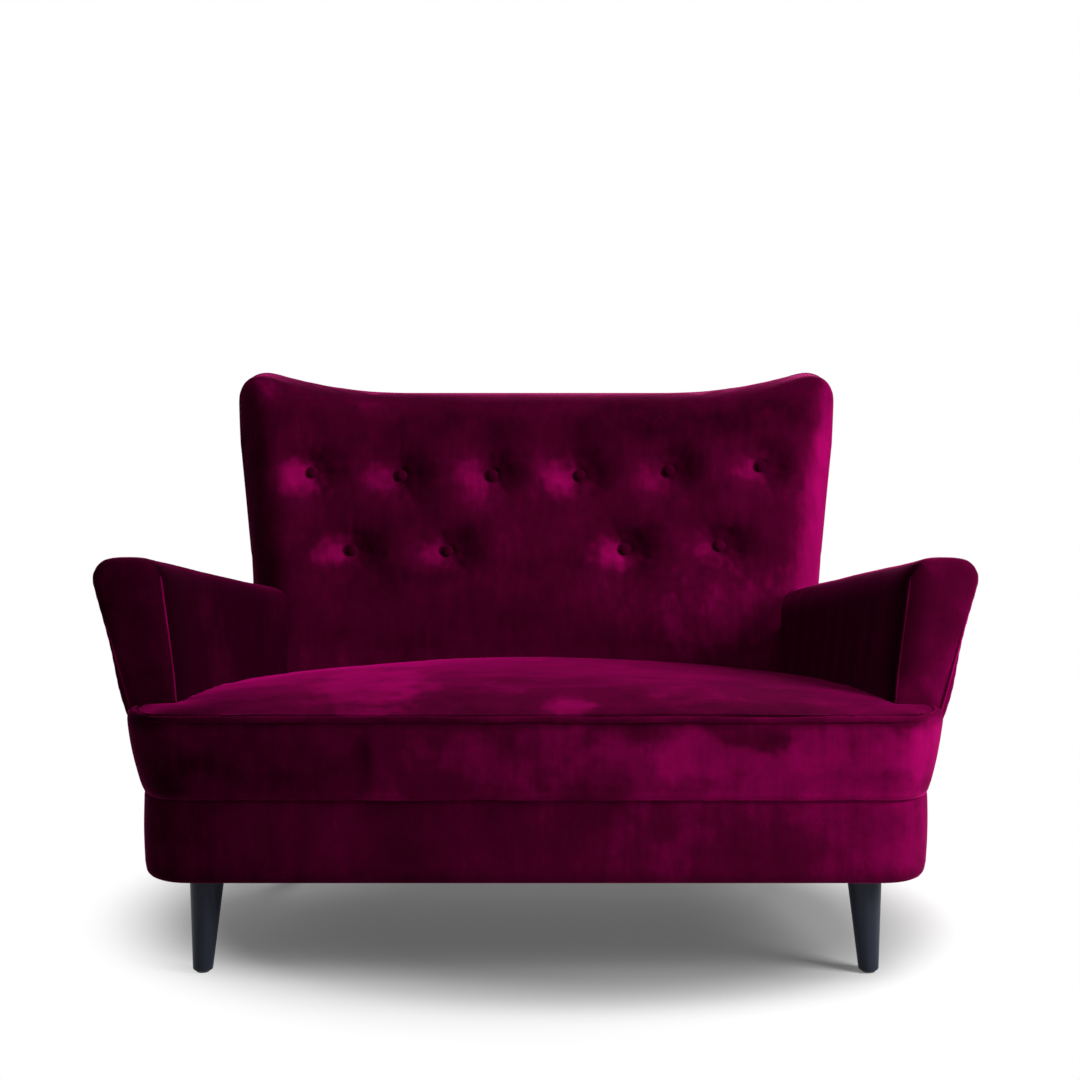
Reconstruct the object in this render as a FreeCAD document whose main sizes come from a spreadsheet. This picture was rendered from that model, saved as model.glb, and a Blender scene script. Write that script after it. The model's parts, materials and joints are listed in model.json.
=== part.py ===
import FreeCAD, Part
import math
import os
import Sketcher
from FreeCAD import Placement, Rotation, Vector

# Two-seater sofa with winged back, flared arms and a T-shaped seat. All lengths are in millimetres.
# +X is to the right as seen from in front, the front faces -Y, +Z is up, and the floor is at zero.
# A depth is measured back from the front of the base. The origin lies under the middle of the sofa.

document = FreeCAD.newDocument("Sofa")

# Driving sizes

SIZES = {
    # Base: a low box, narrower at the rear, on four legs
    "leg_height": 157,
    "base_height": 133,
    "base_front_half": 620,
    "base_rear_half": 505,
    "base_depth": 665,
    "base_corner": 75,
    "base_rear_corner": 30,
    "base_edge": 15,
    "cover_turn_under": 30,
    # Cloth, boards and the clearances between soft pieces
    "cover": 3,
    "soft_gap": 0.3,
    "seam_gap": 0.5,
    "board": 3,
    "cloth": 1,
    "wadding": 6,
    # Timber
    "rail_thickness": 28,
    "spring_rail_setback": 52,
    "centre_rail_height": 55,
    "block_length": 105,
    "block_height": 50,
    "dowel_radius": 5,
    "dowel_length": 44,
    # Legs
    "leg_front_depth": 82,
    "leg_rear_setback": 75,
    "leg_side_offset": 55,
    "leg_top_radius": 28,
    "leg_foot_radius": 15.5,
    "leg_foot_round": 4,
    "leg_splay": 8,
    "leg_rake": 12,
    "glide_radius": 11,
    "glide_height": 3,
    "plate_side": 66,
    "plate_thickness": 3,
    "plate_screw_offset": 26,
    "plate_screw_radius": 2,
    "plate_screw_head": 4,
    "plate_screw_length": 22,
    "bolt_radius": 4,
    "bolt_depth": 35,
    "bolt_rise": 18,
    # Seat springs
    "spring_count": 8,
    "spring_wire": 1.9,
    "spring_bend": 14,
    "spring_half_width": 17,
    "spring_edge": 70,
    "clip_width": 30,
    "clip_sheet": 1.2,
    "tie_wire": 1.5,
    "tie_count": 3,
    # Seat
    "seat_overhang": 8,
    "seat_border": 125,
    "seat_flare": 24,
    "seat_crown": 33,
    "seat_side_drop": 24,
    "seat_tuck": 20,
    "welt_radius": 5,
    "welt_proud": 4,
    # Arms
    "arm_setback": 90,
    "arm_rear_setback": 65,
    "arm_front_foot_width": 64,
    "arm_rear_foot_width": 97,
    "arm_front_flare": 92,
    "arm_rear_flare": -6,
    "arm_front_top_width": 116,
    "arm_rear_top_width": 91,
    "arm_front_rise": 358,
    "arm_rear_rise": 238,
    "arm_outer_round": 36,
    "arm_inner_round": 34,
    "arm_overrun": 15,
    "arm_padding": 22,
    "arm_board_gap": 0.6,
    "arm_seam_drop": 50,
    "arm_rail_height": 40,
    "arm_welt": 3.5,
    "facing_proud": 1.5,
    # Back
    "back_seat_thickness": 135,
    "back_overhang": 117,
    "back_rise": 630,
    "back_dip": 40,
    "back_top_thickness": 118,
    "back_shoulder_rise": 256,
    "back_shoulder_flare": 2,
    "back_top_flare": 39,
    "back_corner": 45,
    "back_shoulder_round": 400,
    "back_dip_round": 900,
    "back_dip_slope": 16,
    "wing_depth": 25,
    "back_front_round": 36,
    "back_rear_round": 12,
    "back_timber_inset": 23,
    "back_foam_joint": 215,
    "back_rail_width": 62,
    "back_seam": 12,
    "upright_width": 40,
    "upright_place": 200,
    "strap_width": 50,
    "strap": 1.5,
    # Tufts, buttons and what holds them
    "tuft_radius": 48,
    "tuft_depth": 24,
    "button_radius": 11,
    "button_seat_radius": 12,
    "button_dome": 5,
    "button_rim": 3,
    "twine_radius": 1,
    "twine_hole": 1.3,
    "toggle_radius": 10,
    "toggle_thickness": 3,
}

sheet = document.addObject("Spreadsheet::Sheet", "Sizes")
for row, (name, value) in enumerate(SIZES.items(), start=1):
    sheet.set(f"A{row}", name)
    sheet.set(f"B{row}", str(value))
    sheet.setAlias(f"B{row}", name)
document.recompute()


class Named:
    """The sheet's cells, read back as plain numbers."""

    def __getattr__(self, name):
        return float(getattr(sheet, name))


size = Named()

# Where the crown of the seat stands along its depth: share of depth, share of crown, share of side drop
SEAT_CROWN_SHARES = ((-0.05, -0.1, 0.1), (0.0, 0.3, 0.1), (0.04, 0.52, 0.42),
                     (0.18, 0.8, 0.8), (0.53, 1.0, 1.9), (1.0, 0.15, 2.6), (1.12, -0.2, 2.9))
# Buttons: share of the back's top half-width, share of the height from the seat to the back's top
UPPER_BUTTON_SHARES = ((-0.738, 0.655), (-0.446, 0.642), (-0.145, 0.642),
                       (0.145, 0.642), (0.440, 0.658), (0.742, 0.676))
LOWER_BUTTON_SHARES = ((-0.606, 0.384), (-0.292, 0.378), (0.292, 0.384), (0.602, 0.398))
# A button's dome: share of its radius, share of the dome's height
BUTTON_DOME_SHARES = ((0.82, 0.58), (0.45, 0.93))
# Each joint of the rails has two dowels, at these shares of the corner block's length
DOWEL_SHARES = (0.25, 0.75)
# The webbing: share of the back's height for the level straps, of its top half-width for the upright ones
LEVEL_STRAP_SHARES = (0.15, 0.33, 0.51, 0.72)
UPRIGHT_STRAP_SHARES = (-0.55, 0, 0.55)

# Places worked out from the sizes

base_top = size.leg_height + size.base_height
seat_level = base_top + size.seat_border
back_top = base_top + size.back_rise
dip_height = back_top - size.back_dip
shoulder_half = size.base_rear_half + size.back_shoulder_flare
back_top_half = shoulder_half + size.back_top_flare
back_reach = size.base_depth + size.back_overhang
back_front_depth = size.base_depth - size.back_seat_thickness
arm_rear_depth = size.base_depth - size.arm_rear_setback
leg_rear_depth = size.base_depth - size.leg_rear_setback
middle_depth = (back_reach - size.seat_overhang - size.welt_proud) / 2
side_slope = (size.base_front_half - size.base_rear_half) / size.base_depth
side_stretch = math.hypot(1, side_slope)
rail_inset = size.cover + size.wadding + 2 * size.soft_gap
rail_bottom = size.leg_height + size.cover + size.cloth + 2 * size.soft_gap
rear_rake = math.atan2(size.back_overhang, size.back_rise)
front_slope = ((back_reach - size.back_dip * math.tan(rear_rake) - size.back_top_thickness - back_front_depth)
               / (dip_height - seat_level))

# The same places as expressions for the bound objects
ZERO = "0"
MIDDLE = "((Sizes.base_depth + Sizes.back_overhang - Sizes.seat_overhang - Sizes.welt_proud) / 2)"
BASE_TOP = "(Sizes.leg_height + Sizes.base_height)"
SLOPE = "((Sizes.base_front_half - Sizes.base_rear_half) / Sizes.base_depth)"
RAIL_INSET = "(Sizes.cover + Sizes.wadding + 2 * Sizes.soft_gap)"
RAIL_BOTTOM = "(Sizes.leg_height + Sizes.cover + Sizes.cloth + 2 * Sizes.soft_gap)"
DIP_FALL = "(Sizes.back_dip * Sizes.back_overhang / Sizes.back_rise)"
FRONT_SLOPE = (f"((Sizes.back_overhang - {DIP_FALL} - Sizes.back_top_thickness + Sizes.back_seat_thickness)"
               " / (Sizes.back_rise - Sizes.back_dip - Sizes.seat_border))")


def y_at(depth):
    """Y of a depth behind the base's front."""
    return depth - middle_depth


def side_at(depth, inset=0):
    """Half-width of the base at a depth, moved in by an inset square to the side."""
    return size.base_front_half - side_slope * depth - inset * side_stretch


def share_between(start, end, share):
    return start + (end - start) * share


# Outlines


def moved_in(points, insets):
    """The corners of a closed outline, anticlockwise, with each side moved inwards by its own inset."""
    count = len(points)
    lines = []
    for index in range(count):
        start = points[index]
        run = points[(index + 1) % count] - start
        run.normalize()
        inward = Vector(-run.y, run.x, 0)
        lines.append((start + inward * insets[index], run))
    corners = []
    for index in range(count):
        start, run = lines[index - 1]
        other, other_run = lines[index]
        gap = other - start
        travel = (gap.x * other_run.y - gap.y * other_run.x) / (run.x * other_run.y - run.y * other_run.x)
        corners.append(start + run * travel)
    return corners


def rounded_edges(points, radii, closed=True):
    """Lines and tangent arcs through the corners. A radius of zero leaves its corner sharp."""
    count = len(points)
    turns = []
    for index, corner in enumerate(points):
        before = points[index - 1] - corner
        after = points[(index + 1) % count] - corner
        ends = not closed and index in (0, count - 1)
        if radii[index] <= 0 or ends:
            turns.append((corner, None, corner))
            continue
        before.normalize()
        after.normalize()
        half = before.getAngle(after) / 2
        toward = before + after
        toward.normalize()
        reach = radii[index] / math.tan(half)
        middle = corner + toward * (radii[index] / math.sin(half) - radii[index])
        turns.append((corner + before * reach, middle, corner + after * reach))
    edges = []
    for index in range(count):
        start, middle, end = turns[index]
        if middle is not None:
            edges.append(Part.Arc(start, middle, end).toShape())
        if closed or index < count - 1:
            edges.append(Part.LineSegment(end, turns[(index + 1) % count][0]).toShape())
    return edges


def level_wire(points, radii, height):
    """A plan outline at a height."""
    wire = Part.Wire(rounded_edges(points, radii))
    wire.translate(Vector(0, 0, height))
    return wire


def upright_wire(points, radii, y, closed=True):
    """An outline drawn in X and Z, standing at one Y."""
    wire = Part.Wire(rounded_edges(points, radii, closed))
    wire.rotate(Vector(0, 0, 0), Vector(1, 0, 0), 90)
    wire.translate(Vector(0, y, 0))
    return wire


def prism(wire, run):
    return Part.Face(wire).extrude(run)


def room(low_x, high_x, low_y, high_y, low_z, high_z):
    """A plain block between two corners, for cutting and keeping."""
    return Part.makeBox(high_x - low_x, high_y - low_y, high_z - low_z, Vector(low_x, low_y, low_z))


def mirrored(shape):
    return shape.mirror(Vector(0, 0, 0), Vector(1, 0, 0))


# The base's form

far = 2 * (size.base_front_half + back_top)


def base_corners(inset):
    """Plan corners of the base, from the front left, anticlockwise."""
    front = size.base_front_half
    rear = size.base_rear_half
    corners = [Vector(-front, y_at(0), 0), Vector(front, y_at(0), 0),
               Vector(rear, y_at(size.base_depth), 0), Vector(-rear, y_at(size.base_depth), 0)]
    return moved_in(corners, [inset] * 4)


def base_radii(inset):
    front = size.base_corner - inset
    rear = max(size.base_rear_corner - inset, 0)
    return [front, front, rear, rear]


def base_prism(inset, low, high):
    outline = level_wire(base_corners(inset), base_radii(inset), low)
    return prism(outline, Vector(0, 0, high - low))


def base_form(inset, top):
    """The base with its lower edge rounded, drawn in by an inset all round and below."""
    low = size.leg_height + inset
    block = base_prism(inset, low, top)
    lower_edges = [edge for edge in block.Edges
                   if abs(edge.BoundBox.ZMin - low) < size.soft_gap and edge.BoundBox.ZLength < size.soft_gap]
    return block.makeFillet(size.base_edge - inset, lower_edges)


# The back's form, leaning on its flat rear face

back_origin = Vector(0, y_at(size.base_depth), base_top)
back_place = Placement(back_origin, Rotation(Vector(1, 0, 0), 90 - math.degrees(rear_rake)))


def back_corners(inset, low):
    """The back seen from in front, anticlockwise from the lower left; the foot stays at its height."""
    slope = math.radians(size.back_dip_slope)
    shoulder = Vector(shoulder_half, base_top + size.back_shoulder_rise, 0)
    foot = Vector(size.base_rear_half, base_top, 0)
    side = Vector(back_top_half, back_top - size.back_corner, 0)
    lean = (side.x - shoulder.x) / (side.y - shoulder.y)
    dip_reach = size.back_dip_round * math.tan(slope / 2)
    crest_x = side.x - size.back_corner * (1 + math.sin(slope))
    crest_y = side.y + size.back_corner * math.cos(slope)
    dip_x = crest_x - (crest_y - dip_height) / math.tan(slope)
    top_x = side.x
    top_y = dip_height + (top_x - dip_x) * math.tan(slope)
    top_x = side.x + lean * (top_y - side.y)
    right = [foot, shoulder, Vector(top_x, top_y, 0), Vector(dip_x, dip_height, 0)]
    left = [Vector(-point.x, point.y, 0) for point in reversed(right)]
    corners = right + left
    corners = moved_in(corners, [inset] * (len(corners) - 1) + [0])
    fall = low - base_top
    corners[0] = corners[0] + Vector(0, fall, 0)
    corners[-1] = corners[-1] + Vector(0, fall, 0)
    return corners


def back_radii(inset):
    right = [0, size.back_shoulder_round + inset, size.back_corner - inset, size.back_dip_round + inset]
    return right + right[::-1]


def front_depth_at(height):
    return back_front_depth + front_slope * (height - seat_level)


def back_slab(front_inset, rear_inset, low, high):
    """The leaning slab between the hollow front face and the flat rear face."""
    reach = back_top_half + size.wing_depth
    sections = []
    for height in (low, high):
        front = y_at(front_depth_at(height)) + front_inset / math.cos(math.atan(front_slope))
        rear = y_at(size.base_depth) + (height - base_top) * math.tan(rear_rake) - rear_inset / math.cos(rear_rake)
        wing = front - size.wing_depth
        start = Vector(-reach, wing, height)
        end = Vector(reach, wing, height)
        edges = [Part.Arc(start, Vector(0, front, height), end).toShape(),
                 Part.LineSegment(end, Vector(reach, rear, height)).toShape(),
                 Part.LineSegment(Vector(reach, rear, height), Vector(-reach, rear, height)).toShape(),
                 Part.LineSegment(Vector(-reach, rear, height), start).toShape()]
        sections.append(Part.Wire(edges))
    return Part.makeLoft(sections, True, True)


def back_form(inset, low=base_top):
    """The upholstered back, drawn in by an inset, with a full front edge and a tight rear edge."""
    outline = upright_wire(back_corners(inset, low), back_radii(inset), y_at(-far))
    slab = back_slab(inset, inset, low - size.back_dip, back_top + size.back_dip * 2)
    block = slab.common(prism(outline, Vector(0, 2 * far, 0)))
    front_edges = []
    rear_edges = []
    for edge in block.Edges:
        box = edge.BoundBox
        if box.ZMax < low + size.soft_gap:
            continue
        middle = edge.valueAt((edge.FirstParameter + edge.LastParameter) / 2)
        local = back_place.inverse().multVec(middle)
        along_depth = abs(edge.Vertexes[0].Point.y - edge.Vertexes[-1].Point.y) > size.back_top_thickness / 2
        if along_depth and box.XLength < size.back_corner and box.ZLength < size.back_corner:
            continue
        if local.z < inset + size.soft_gap:
            rear_edges.append(edge)
        else:
            front_edges.append(edge)
    block = block.makeFillet(size.back_front_round - inset, front_edges)
    rear_edges = [edge for edge in block.Edges
                  if abs(back_place.inverse().multVec(edge.valueAt((edge.FirstParameter + edge.LastParameter) / 2)).z
                         - inset) < size.soft_gap / 2 and edge.BoundBox.ZMax > low + size.soft_gap]
    return block.makeFillet(size.back_rear_round - inset, rear_edges)


# The arms' form

arm_span = arm_rear_depth - size.arm_setback
arm_slope_stretch = math.hypot(1, (size.arm_front_rise - size.arm_rear_rise) / arm_span)
facing_rear = 2 * size.arm_welt
arm_front = facing_rear + size.soft_gap
arm_board_inner = size.cover + size.arm_padding + 2 * size.soft_gap
arm_timber_inner = arm_board_inner + size.board
arm_board_outer = size.cover + size.arm_board_gap
arm_timber_outer = arm_board_outer + size.board


def arm_top_at(share):
    return base_top + share_between(size.arm_front_rise, size.arm_rear_rise, share)


def arm_corners(share, inner, top, outer, foot):
    """Section of the right arm, square to Y, anticlockwise from its inner foot; share 0 is its front."""
    side = side_at(share_between(size.arm_setback, arm_rear_depth, share))
    flare = share_between(size.arm_front_flare, size.arm_rear_flare, share)
    foot_width = share_between(size.arm_front_foot_width, size.arm_rear_foot_width, share)
    top_width = share_between(size.arm_front_top_width, size.arm_rear_top_width, share)
    corners = [Vector(side - foot_width, base_top, 0),
               Vector(side, base_top, 0),
               Vector(side + flare, arm_top_at(share), 0),
               Vector(side + flare - top_width, arm_top_at(share), 0)]
    return moved_in(corners, [foot, outer, top, inner])


def reached(start, end, height):
    """The point of a leaning side line at a height."""
    return start + (end - start) * ((height - start.y) / (end.y - start.y))


def arm_form(inner, top, outer, front, foot=0, rounded=2):
    """The right arm, drawn in by its insets, with its inner ridge, both ridges or neither rounded."""
    low = base_top - size.arm_front_rise
    high = base_top + 2 * size.arm_front_rise
    sections = []
    for share in (-size.arm_overrun / arm_span, 1):
        corners = arm_corners(share, inner, 0, outer, 0)
        stretched = [reached(corners[0], corners[3], low), reached(corners[1], corners[2], low),
                     reached(corners[1], corners[2], high), reached(corners[0], corners[3], high)]
        sections.append(upright_wire(stretched, [0] * 4, y_at(size.arm_setback + share * arm_span)))
    walls = Part.makeLoft(sections, True, True)
    floor = base_top + foot
    start = Vector(0, y_at(size.arm_setback + front), arm_top_at(front / arm_span) - top * arm_slope_stretch)
    end = Vector(0, y_at(arm_rear_depth), arm_top_at(1) - top * arm_slope_stretch)
    profile = Part.makePolygon([start, end, Vector(0, end.y, floor), Vector(0, start.y, floor), start])
    block = walls.common(prism(profile, Vector(far, 0, 0)))
    if not rounded:
        return block
    long_edges = [edge for edge in block.Edges if edge.BoundBox.YLength > arm_span / 2]
    ridges = sorted(sorted(long_edges, key=lambda edge: edge.BoundBox.ZMax)[-2:],
                    key=lambda edge: edge.BoundBox.XMax)
    for ridge, radius in list(zip(ridges, (size.arm_inner_round, size.arm_outer_round)))[:rounded]:
        middle = ridge.valueAt((ridge.FirstParameter + ridge.LastParameter) / 2)
        found = min(block.Edges, key=lambda edge: edge.distToShape(Part.Vertex(middle))[0])
        if radius > top:
            block = block.makeFillet(radius - top, [found])
    return block


def swept_cord(path, radius):
    """A round cord along a path of lines and tangent arcs, and its volume set against its length."""
    edge = path.OrderedEdges[0]
    start = edge.valueAt(edge.FirstParameter)
    ahead = edge.tangentAt(edge.FirstParameter)
    if edge.Orientation == "Reversed":
        start = edge.valueAt(edge.LastParameter)
        ahead = edge.tangentAt(edge.LastParameter) * -1
    shell = Part.BRepOffsetAPI.MakePipeShell(path)
    shell.add(Part.Wire([Part.Circle(start, ahead, radius).toShape()]))
    shell.build()
    shell.makeSolid()
    cord = shell.shape()
    if cord.Volume < 0:
        cord.reverse()
    return cord


# The seat's form

t_end_rear = size.arm_setback - size.facing_proud - size.seam_gap


def seat_corners(height, inset):
    """Plan of the seat at a height: the base's plan, further out in front and flared to the sides."""
    flare = size.seat_flare * (height - base_top) / (seat_level - base_top)
    return moved_in(base_corners(0), [inset - size.seat_overhang, inset - flare, inset, inset - flare])


def seat_radii(inset):
    return [size.base_corner - inset, size.base_corner - inset, 0, 0]


def crown_solid(inset):
    """Everything under the crowned top, from sections across the seat."""
    reach = size.base_front_half + size.seat_flare * 2
    length = back_front_depth + size.seat_overhang
    sections = []
    for depth_share, crown_share, drop_share in SEAT_CROWN_SHARES:
        y = y_at(depth_share * length - size.seat_overhang)
        middle = seat_level + crown_share * size.seat_crown - inset
        side = middle - drop_share * size.seat_side_drop
        low = base_top - size.seat_crown
        corners = [Vector(-reach, y, low), Vector(reach, y, low), Vector(reach, y, side), Vector(-reach, y, side)]
        edges = [Part.LineSegment(corners[0], corners[1]).toShape(),
                 Part.LineSegment(corners[1], corners[2]).toShape(),
                 Part.Arc(corners[2], Vector(0, y, middle), corners[3]).toShape(),
                 Part.LineSegment(corners[3], corners[0]).toShape()]
        sections.append(Part.Wire(edges))
    return Part.makeLoft(sections, True, False)


def seat_form(inset, low, arm_tool, back_tool):
    """The T-shaped seat between the arms and the back, drawn in by an inset and cut off at a height."""
    high = seat_level + size.seat_crown * 2
    block = Part.makeLoft([level_wire(seat_corners(low, inset), seat_radii(inset), low),
                           level_wire(seat_corners(high, inset), seat_radii(inset), high)], True, True)
    seat = block.common(crown_solid(inset))
    behind = room(-far, far, y_at(t_end_rear - inset), far, low - far, high)
    seat = seat.cut(behind.cut(base_prism(size.seat_tuck, low - far, high + far)))
    return seat.cut([arm_tool, mirrored(arm_tool), back_tool])


# Tufts and buttons, placed on the back's front face

wing_reach = back_top_half + size.wing_depth
wing_radius = (wing_reach ** 2 + size.wing_depth ** 2) / (2 * size.wing_depth)


def button_spot(x_share, height_share):
    """A point of the back's front face, in the back's leaning frame."""
    x = x_share * back_top_half
    height = share_between(seat_level, back_top, height_share)
    wing = wing_radius - math.sqrt(wing_radius ** 2 - x ** 2)
    point = Vector(x, y_at(front_depth_at(height) - wing), height)
    return back_place.inverse().multVec(point)


upper_spots = [button_spot(*shares) for shares in UPPER_BUTTON_SHARES]
lower_spots = [button_spot(*shares) for shares in LOWER_BUTTON_SHARES]


def at_spot(spot, sink=0):
    """Placement square to the leaning back, sunk below a spot of its face."""
    return back_place.multiply(Placement(Vector(spot.x, spot.y, spot.z - sink), Rotation()))


def tuft_tool(inset):
    """What one sewn tuft takes out of the pad: a funnel with a rounded lip and a flat floor."""
    flare = size.tuft_radius - size.button_seat_radius
    lip = (flare ** 2 + size.tuft_depth ** 2) / (2 * size.tuft_depth)
    floor = size.tuft_depth + inset
    round_lip = lip - inset
    floor_radius = size.tuft_radius - math.sqrt(round_lip ** 2 - (floor - lip) ** 2)
    half_turn = math.acos((lip - floor) / round_lip) / 2
    middle = Vector(size.tuft_radius - round_lip * math.sin(half_turn), 0, round_lip * math.cos(half_turn) - lip)
    rim = Vector(size.tuft_radius, 0, -inset)
    above = size.tuft_depth
    edges = [Part.LineSegment(Vector(0, 0, above), Vector(size.tuft_radius, 0, above)).toShape(),
             Part.LineSegment(Vector(size.tuft_radius, 0, above), rim).toShape(),
             Part.Arc(rim, middle, Vector(floor_radius, 0, -floor)).toShape(),
             Part.LineSegment(Vector(floor_radius, 0, -floor), Vector(0, 0, -floor)).toShape(),
             Part.LineSegment(Vector(0, 0, -floor), Vector(0, 0, above)).toShape()]
    return Part.Face(Part.Wire(edges)).revolve(Vector(0, 0, 0), Vector(0, 0, 1), 360)


def placed(shape, placement):
    copy = shape.copy()
    copy.Placement = placement.multiply(copy.Placement)
    return copy


# Document objects

parts = {}


def keep(label, item):
    """Names an object as one of the sofa's sub-parts."""
    item.Label = label
    parts[label] = item
    return item


def feature(label, shape, placement=None):
    """A sub-part whose shape is worked out above."""
    item = document.addObject("Part::Feature", label)
    item.Shape = shape
    if placement is not None:
        item.Placement = placement
    return keep(label, item)


def helper(label, shape):
    """A shape that only trims or bores sub-parts."""
    item = document.addObject("Part::Feature", label)
    item.Shape = shape
    return item


def bind(item, **expressions):
    for name, expression in expressions.items():
        item.setExpression(name.replace("_at_", "Placement.Base."), expression)


def bound_block(label, length, width, height, x, y, z):
    block = document.addObject("Part::Box", label)
    bind(block, Length=length, Width=width, Height=height, _at_x=x, _at_y=y, _at_z=z)
    return block


def boolean(kind, label, base, tool):
    item = document.addObject(kind, label)
    item.Base = base
    item.Tool = tool
    return item


def body(label):
    return document.addObject("PartDesign::Body", label)


def sketch(owner, role, name, lift=None):
    """A sketch on one of the body's own planes, or lifted off it by an expression."""
    drawing = owner.newObject("Sketcher::SketchObject", name)
    plane = [item for item in owner.Origin.OriginFeatures if item.Role == role][0]
    drawing.AttachmentSupport = [(plane, "")]
    drawing.MapMode = "FlatFace"
    if lift is not None:
        drawing.setExpression("AttachmentOffset.Base.z", lift)
    return drawing


def draw_outline(drawing, corners):
    """A closed outline whose corners sit at pairs of expressions."""
    first = drawing.GeometryCount
    count = len(corners)
    ring = [Vector(size.board * math.cos(turn), size.board * math.sin(turn), 0)
            for turn in (2 * math.pi * index / count for index in range(count))]
    for index in range(count):
        drawing.addGeometry(Part.LineSegment(ring[index], ring[(index + 1) % count]), False)
    for index in range(count):
        here = first + index
        drawing.addConstraint(Sketcher.Constraint("Coincident", here, 2, first + (index + 1) % count, 1))
        for kind, expression in zip(("DistanceX", "DistanceY"), corners[index]):
            place = drawing.addConstraint(Sketcher.Constraint(kind, -1, 1, here, 1, size.board))
            drawing.setExpression(f"Constraints[{place}]", expression)


def draw_circle(drawing, x, y, radius):
    """A circle whose centre and radius are expressions."""
    here = drawing.addGeometry(Part.Circle(Vector(0, 0, 0), Vector(0, 0, 1), size.board), False)
    for kind, expression in (("DistanceX", x), ("DistanceY", y)):
        place = drawing.addConstraint(Sketcher.Constraint(kind, -1, 1, here, 3, size.board))
        drawing.setExpression(f"Constraints[{place}]", expression)
    place = drawing.addConstraint(Sketcher.Constraint("Radius", here, size.board))
    drawing.setExpression(f"Constraints[{place}]", radius)


def padded_body(label, role, corners, length, holes=(), midplane=False):
    """A body made by padding one outline, with round holes through it."""
    owner = body(label)
    drawing = sketch(owner, role, label + "_outline")
    draw_outline(drawing, corners)
    for x, y, radius in holes:
        draw_circle(drawing, x, y, radius)
    pad = owner.newObject("PartDesign::Pad", label + "_pad")
    pad.Profile = drawing
    pad.Midplane = midplane
    pad.setExpression("Length", length)
    return owner


def turned_body(label, corners):
    """A body turned about its own upright axis, from an outline in radius and height."""
    owner = body(label)
    drawing = sketch(owner, "XZ_Plane", label + "_profile")
    draw_outline(drawing, corners)
    turn = owner.newObject("PartDesign::Revolution", label + "_turn")
    turn.Profile = drawing
    turn.ReferenceAxis = (drawing, ["V_Axis"])
    turn.Angle = 360
    return owner


def copies(label, source, placements):
    """Identical separate solids in one node."""
    return feature(label, Part.makeCompound([placed(source.Shape, placement) for placement in placements]))


# Base timber


def side_expression(depth, inset):
    return f"(Sizes.base_front_half - {SLOPE} * ({depth}) - ({inset}) / cos(atan({SLOPE})))"


BEHIND_FRONT_RAIL = f"({RAIL_INSET} + Sizes.rail_thickness)"
BEFORE_REAR_RAIL = f"(Sizes.base_depth - {RAIL_INSET} - Sizes.rail_thickness)"
RAIL_HEIGHT = f"({BASE_TOP} - {RAIL_BOTTOM})"
WIDEST = "(2 * Sizes.base_front_half)"

timber_room = helper("timber_room", base_prism(rail_inset, rail_bottom, base_top))
behind_front_rail = rail_inset + size.rail_thickness
before_rear_rail = size.base_depth - rail_inset - size.rail_thickness


def side_rail_corners(sign):
    corners = []
    for depth, inset in ((BEHIND_FRONT_RAIL, BEHIND_FRONT_RAIL), (BEHIND_FRONT_RAIL, RAIL_INSET),
                         (BEFORE_REAR_RAIL, RAIL_INSET), (BEFORE_REAR_RAIL, BEHIND_FRONT_RAIL)):
        corners.append((f"{sign} * {side_expression(depth, inset)}", f"{depth} - {MIDDLE}"))
    return corners


front_board = bound_block("front_board", WIDEST, "Sizes.rail_thickness", RAIL_HEIGHT,
                          "-Sizes.base_front_half", f"{RAIL_INSET} - {MIDDLE}", RAIL_BOTTOM)
rear_board = bound_block("rear_board", WIDEST, "Sizes.rail_thickness", RAIL_HEIGHT,
                         "-Sizes.base_front_half", f"{BEFORE_REAR_RAIL} - {MIDDLE}", RAIL_BOTTOM)
side_boards = {}
for side, sign in (("left", -1), ("right", 1)):
    side_boards[side] = padded_body(f"side_board_{side}", "XY_Plane", side_rail_corners(sign), RAIL_HEIGHT)
    side_boards[side].setExpression("Placement.Base.z", RAIL_BOTTOM)

# Dowels across the four joints of the rails
dowel = document.addObject("Part::Cylinder", "dowel")
bind(dowel, Radius="Sizes.dowel_radius", Height="Sizes.dowel_length")
document.recompute()

dowel_places = []
into_rail = Rotation(Vector(1, 0, 0), -90)
into_side = Rotation(Vector(0, 1, 0), 90)
dowel_level = rail_bottom + size.plate_thickness + size.block_height / 2
for joint, block_middle in ((behind_front_rail, behind_front_rail + size.block_length / 2),
                            (before_rear_rail, before_rear_rail - size.block_length / 2)):
    for sign in (-1, 1):
        for share in DOWEL_SHARES:
            x = sign * (side_at(joint, behind_front_rail) - size.block_length * share)
            dowel_places.append(Placement(Vector(x, y_at(joint) - size.dowel_length / 2, dowel_level), into_rail))
        x = sign * side_at(block_middle, behind_front_rail) - size.dowel_length / 2
        dowel_places.append(Placement(Vector(x, y_at(block_middle), dowel_level), into_side))
dowels = copies("frame_dowels", dowel, dowel_places)

rails = (("front_rail", front_board), ("rear_rail", rear_board),
         ("side_rail_left", side_boards["left"]), ("side_rail_right", side_boards["right"]))
for label, board_object in rails:
    trimmed = boolean("Part::Common", label + "_trimmed", board_object, timber_room)
    keep(label, boolean("Part::Cut", label, trimmed, dowels))

centre_rail = keep("centre_rail", bound_block(
    "centre_rail", "Sizes.rail_thickness", f"{BEFORE_REAR_RAIL} - {BEHIND_FRONT_RAIL}", "Sizes.centre_rail_height",
    "-Sizes.rail_thickness / 2", f"{BEHIND_FRONT_RAIL} - {MIDDLE}", RAIL_BOTTOM))

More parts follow.
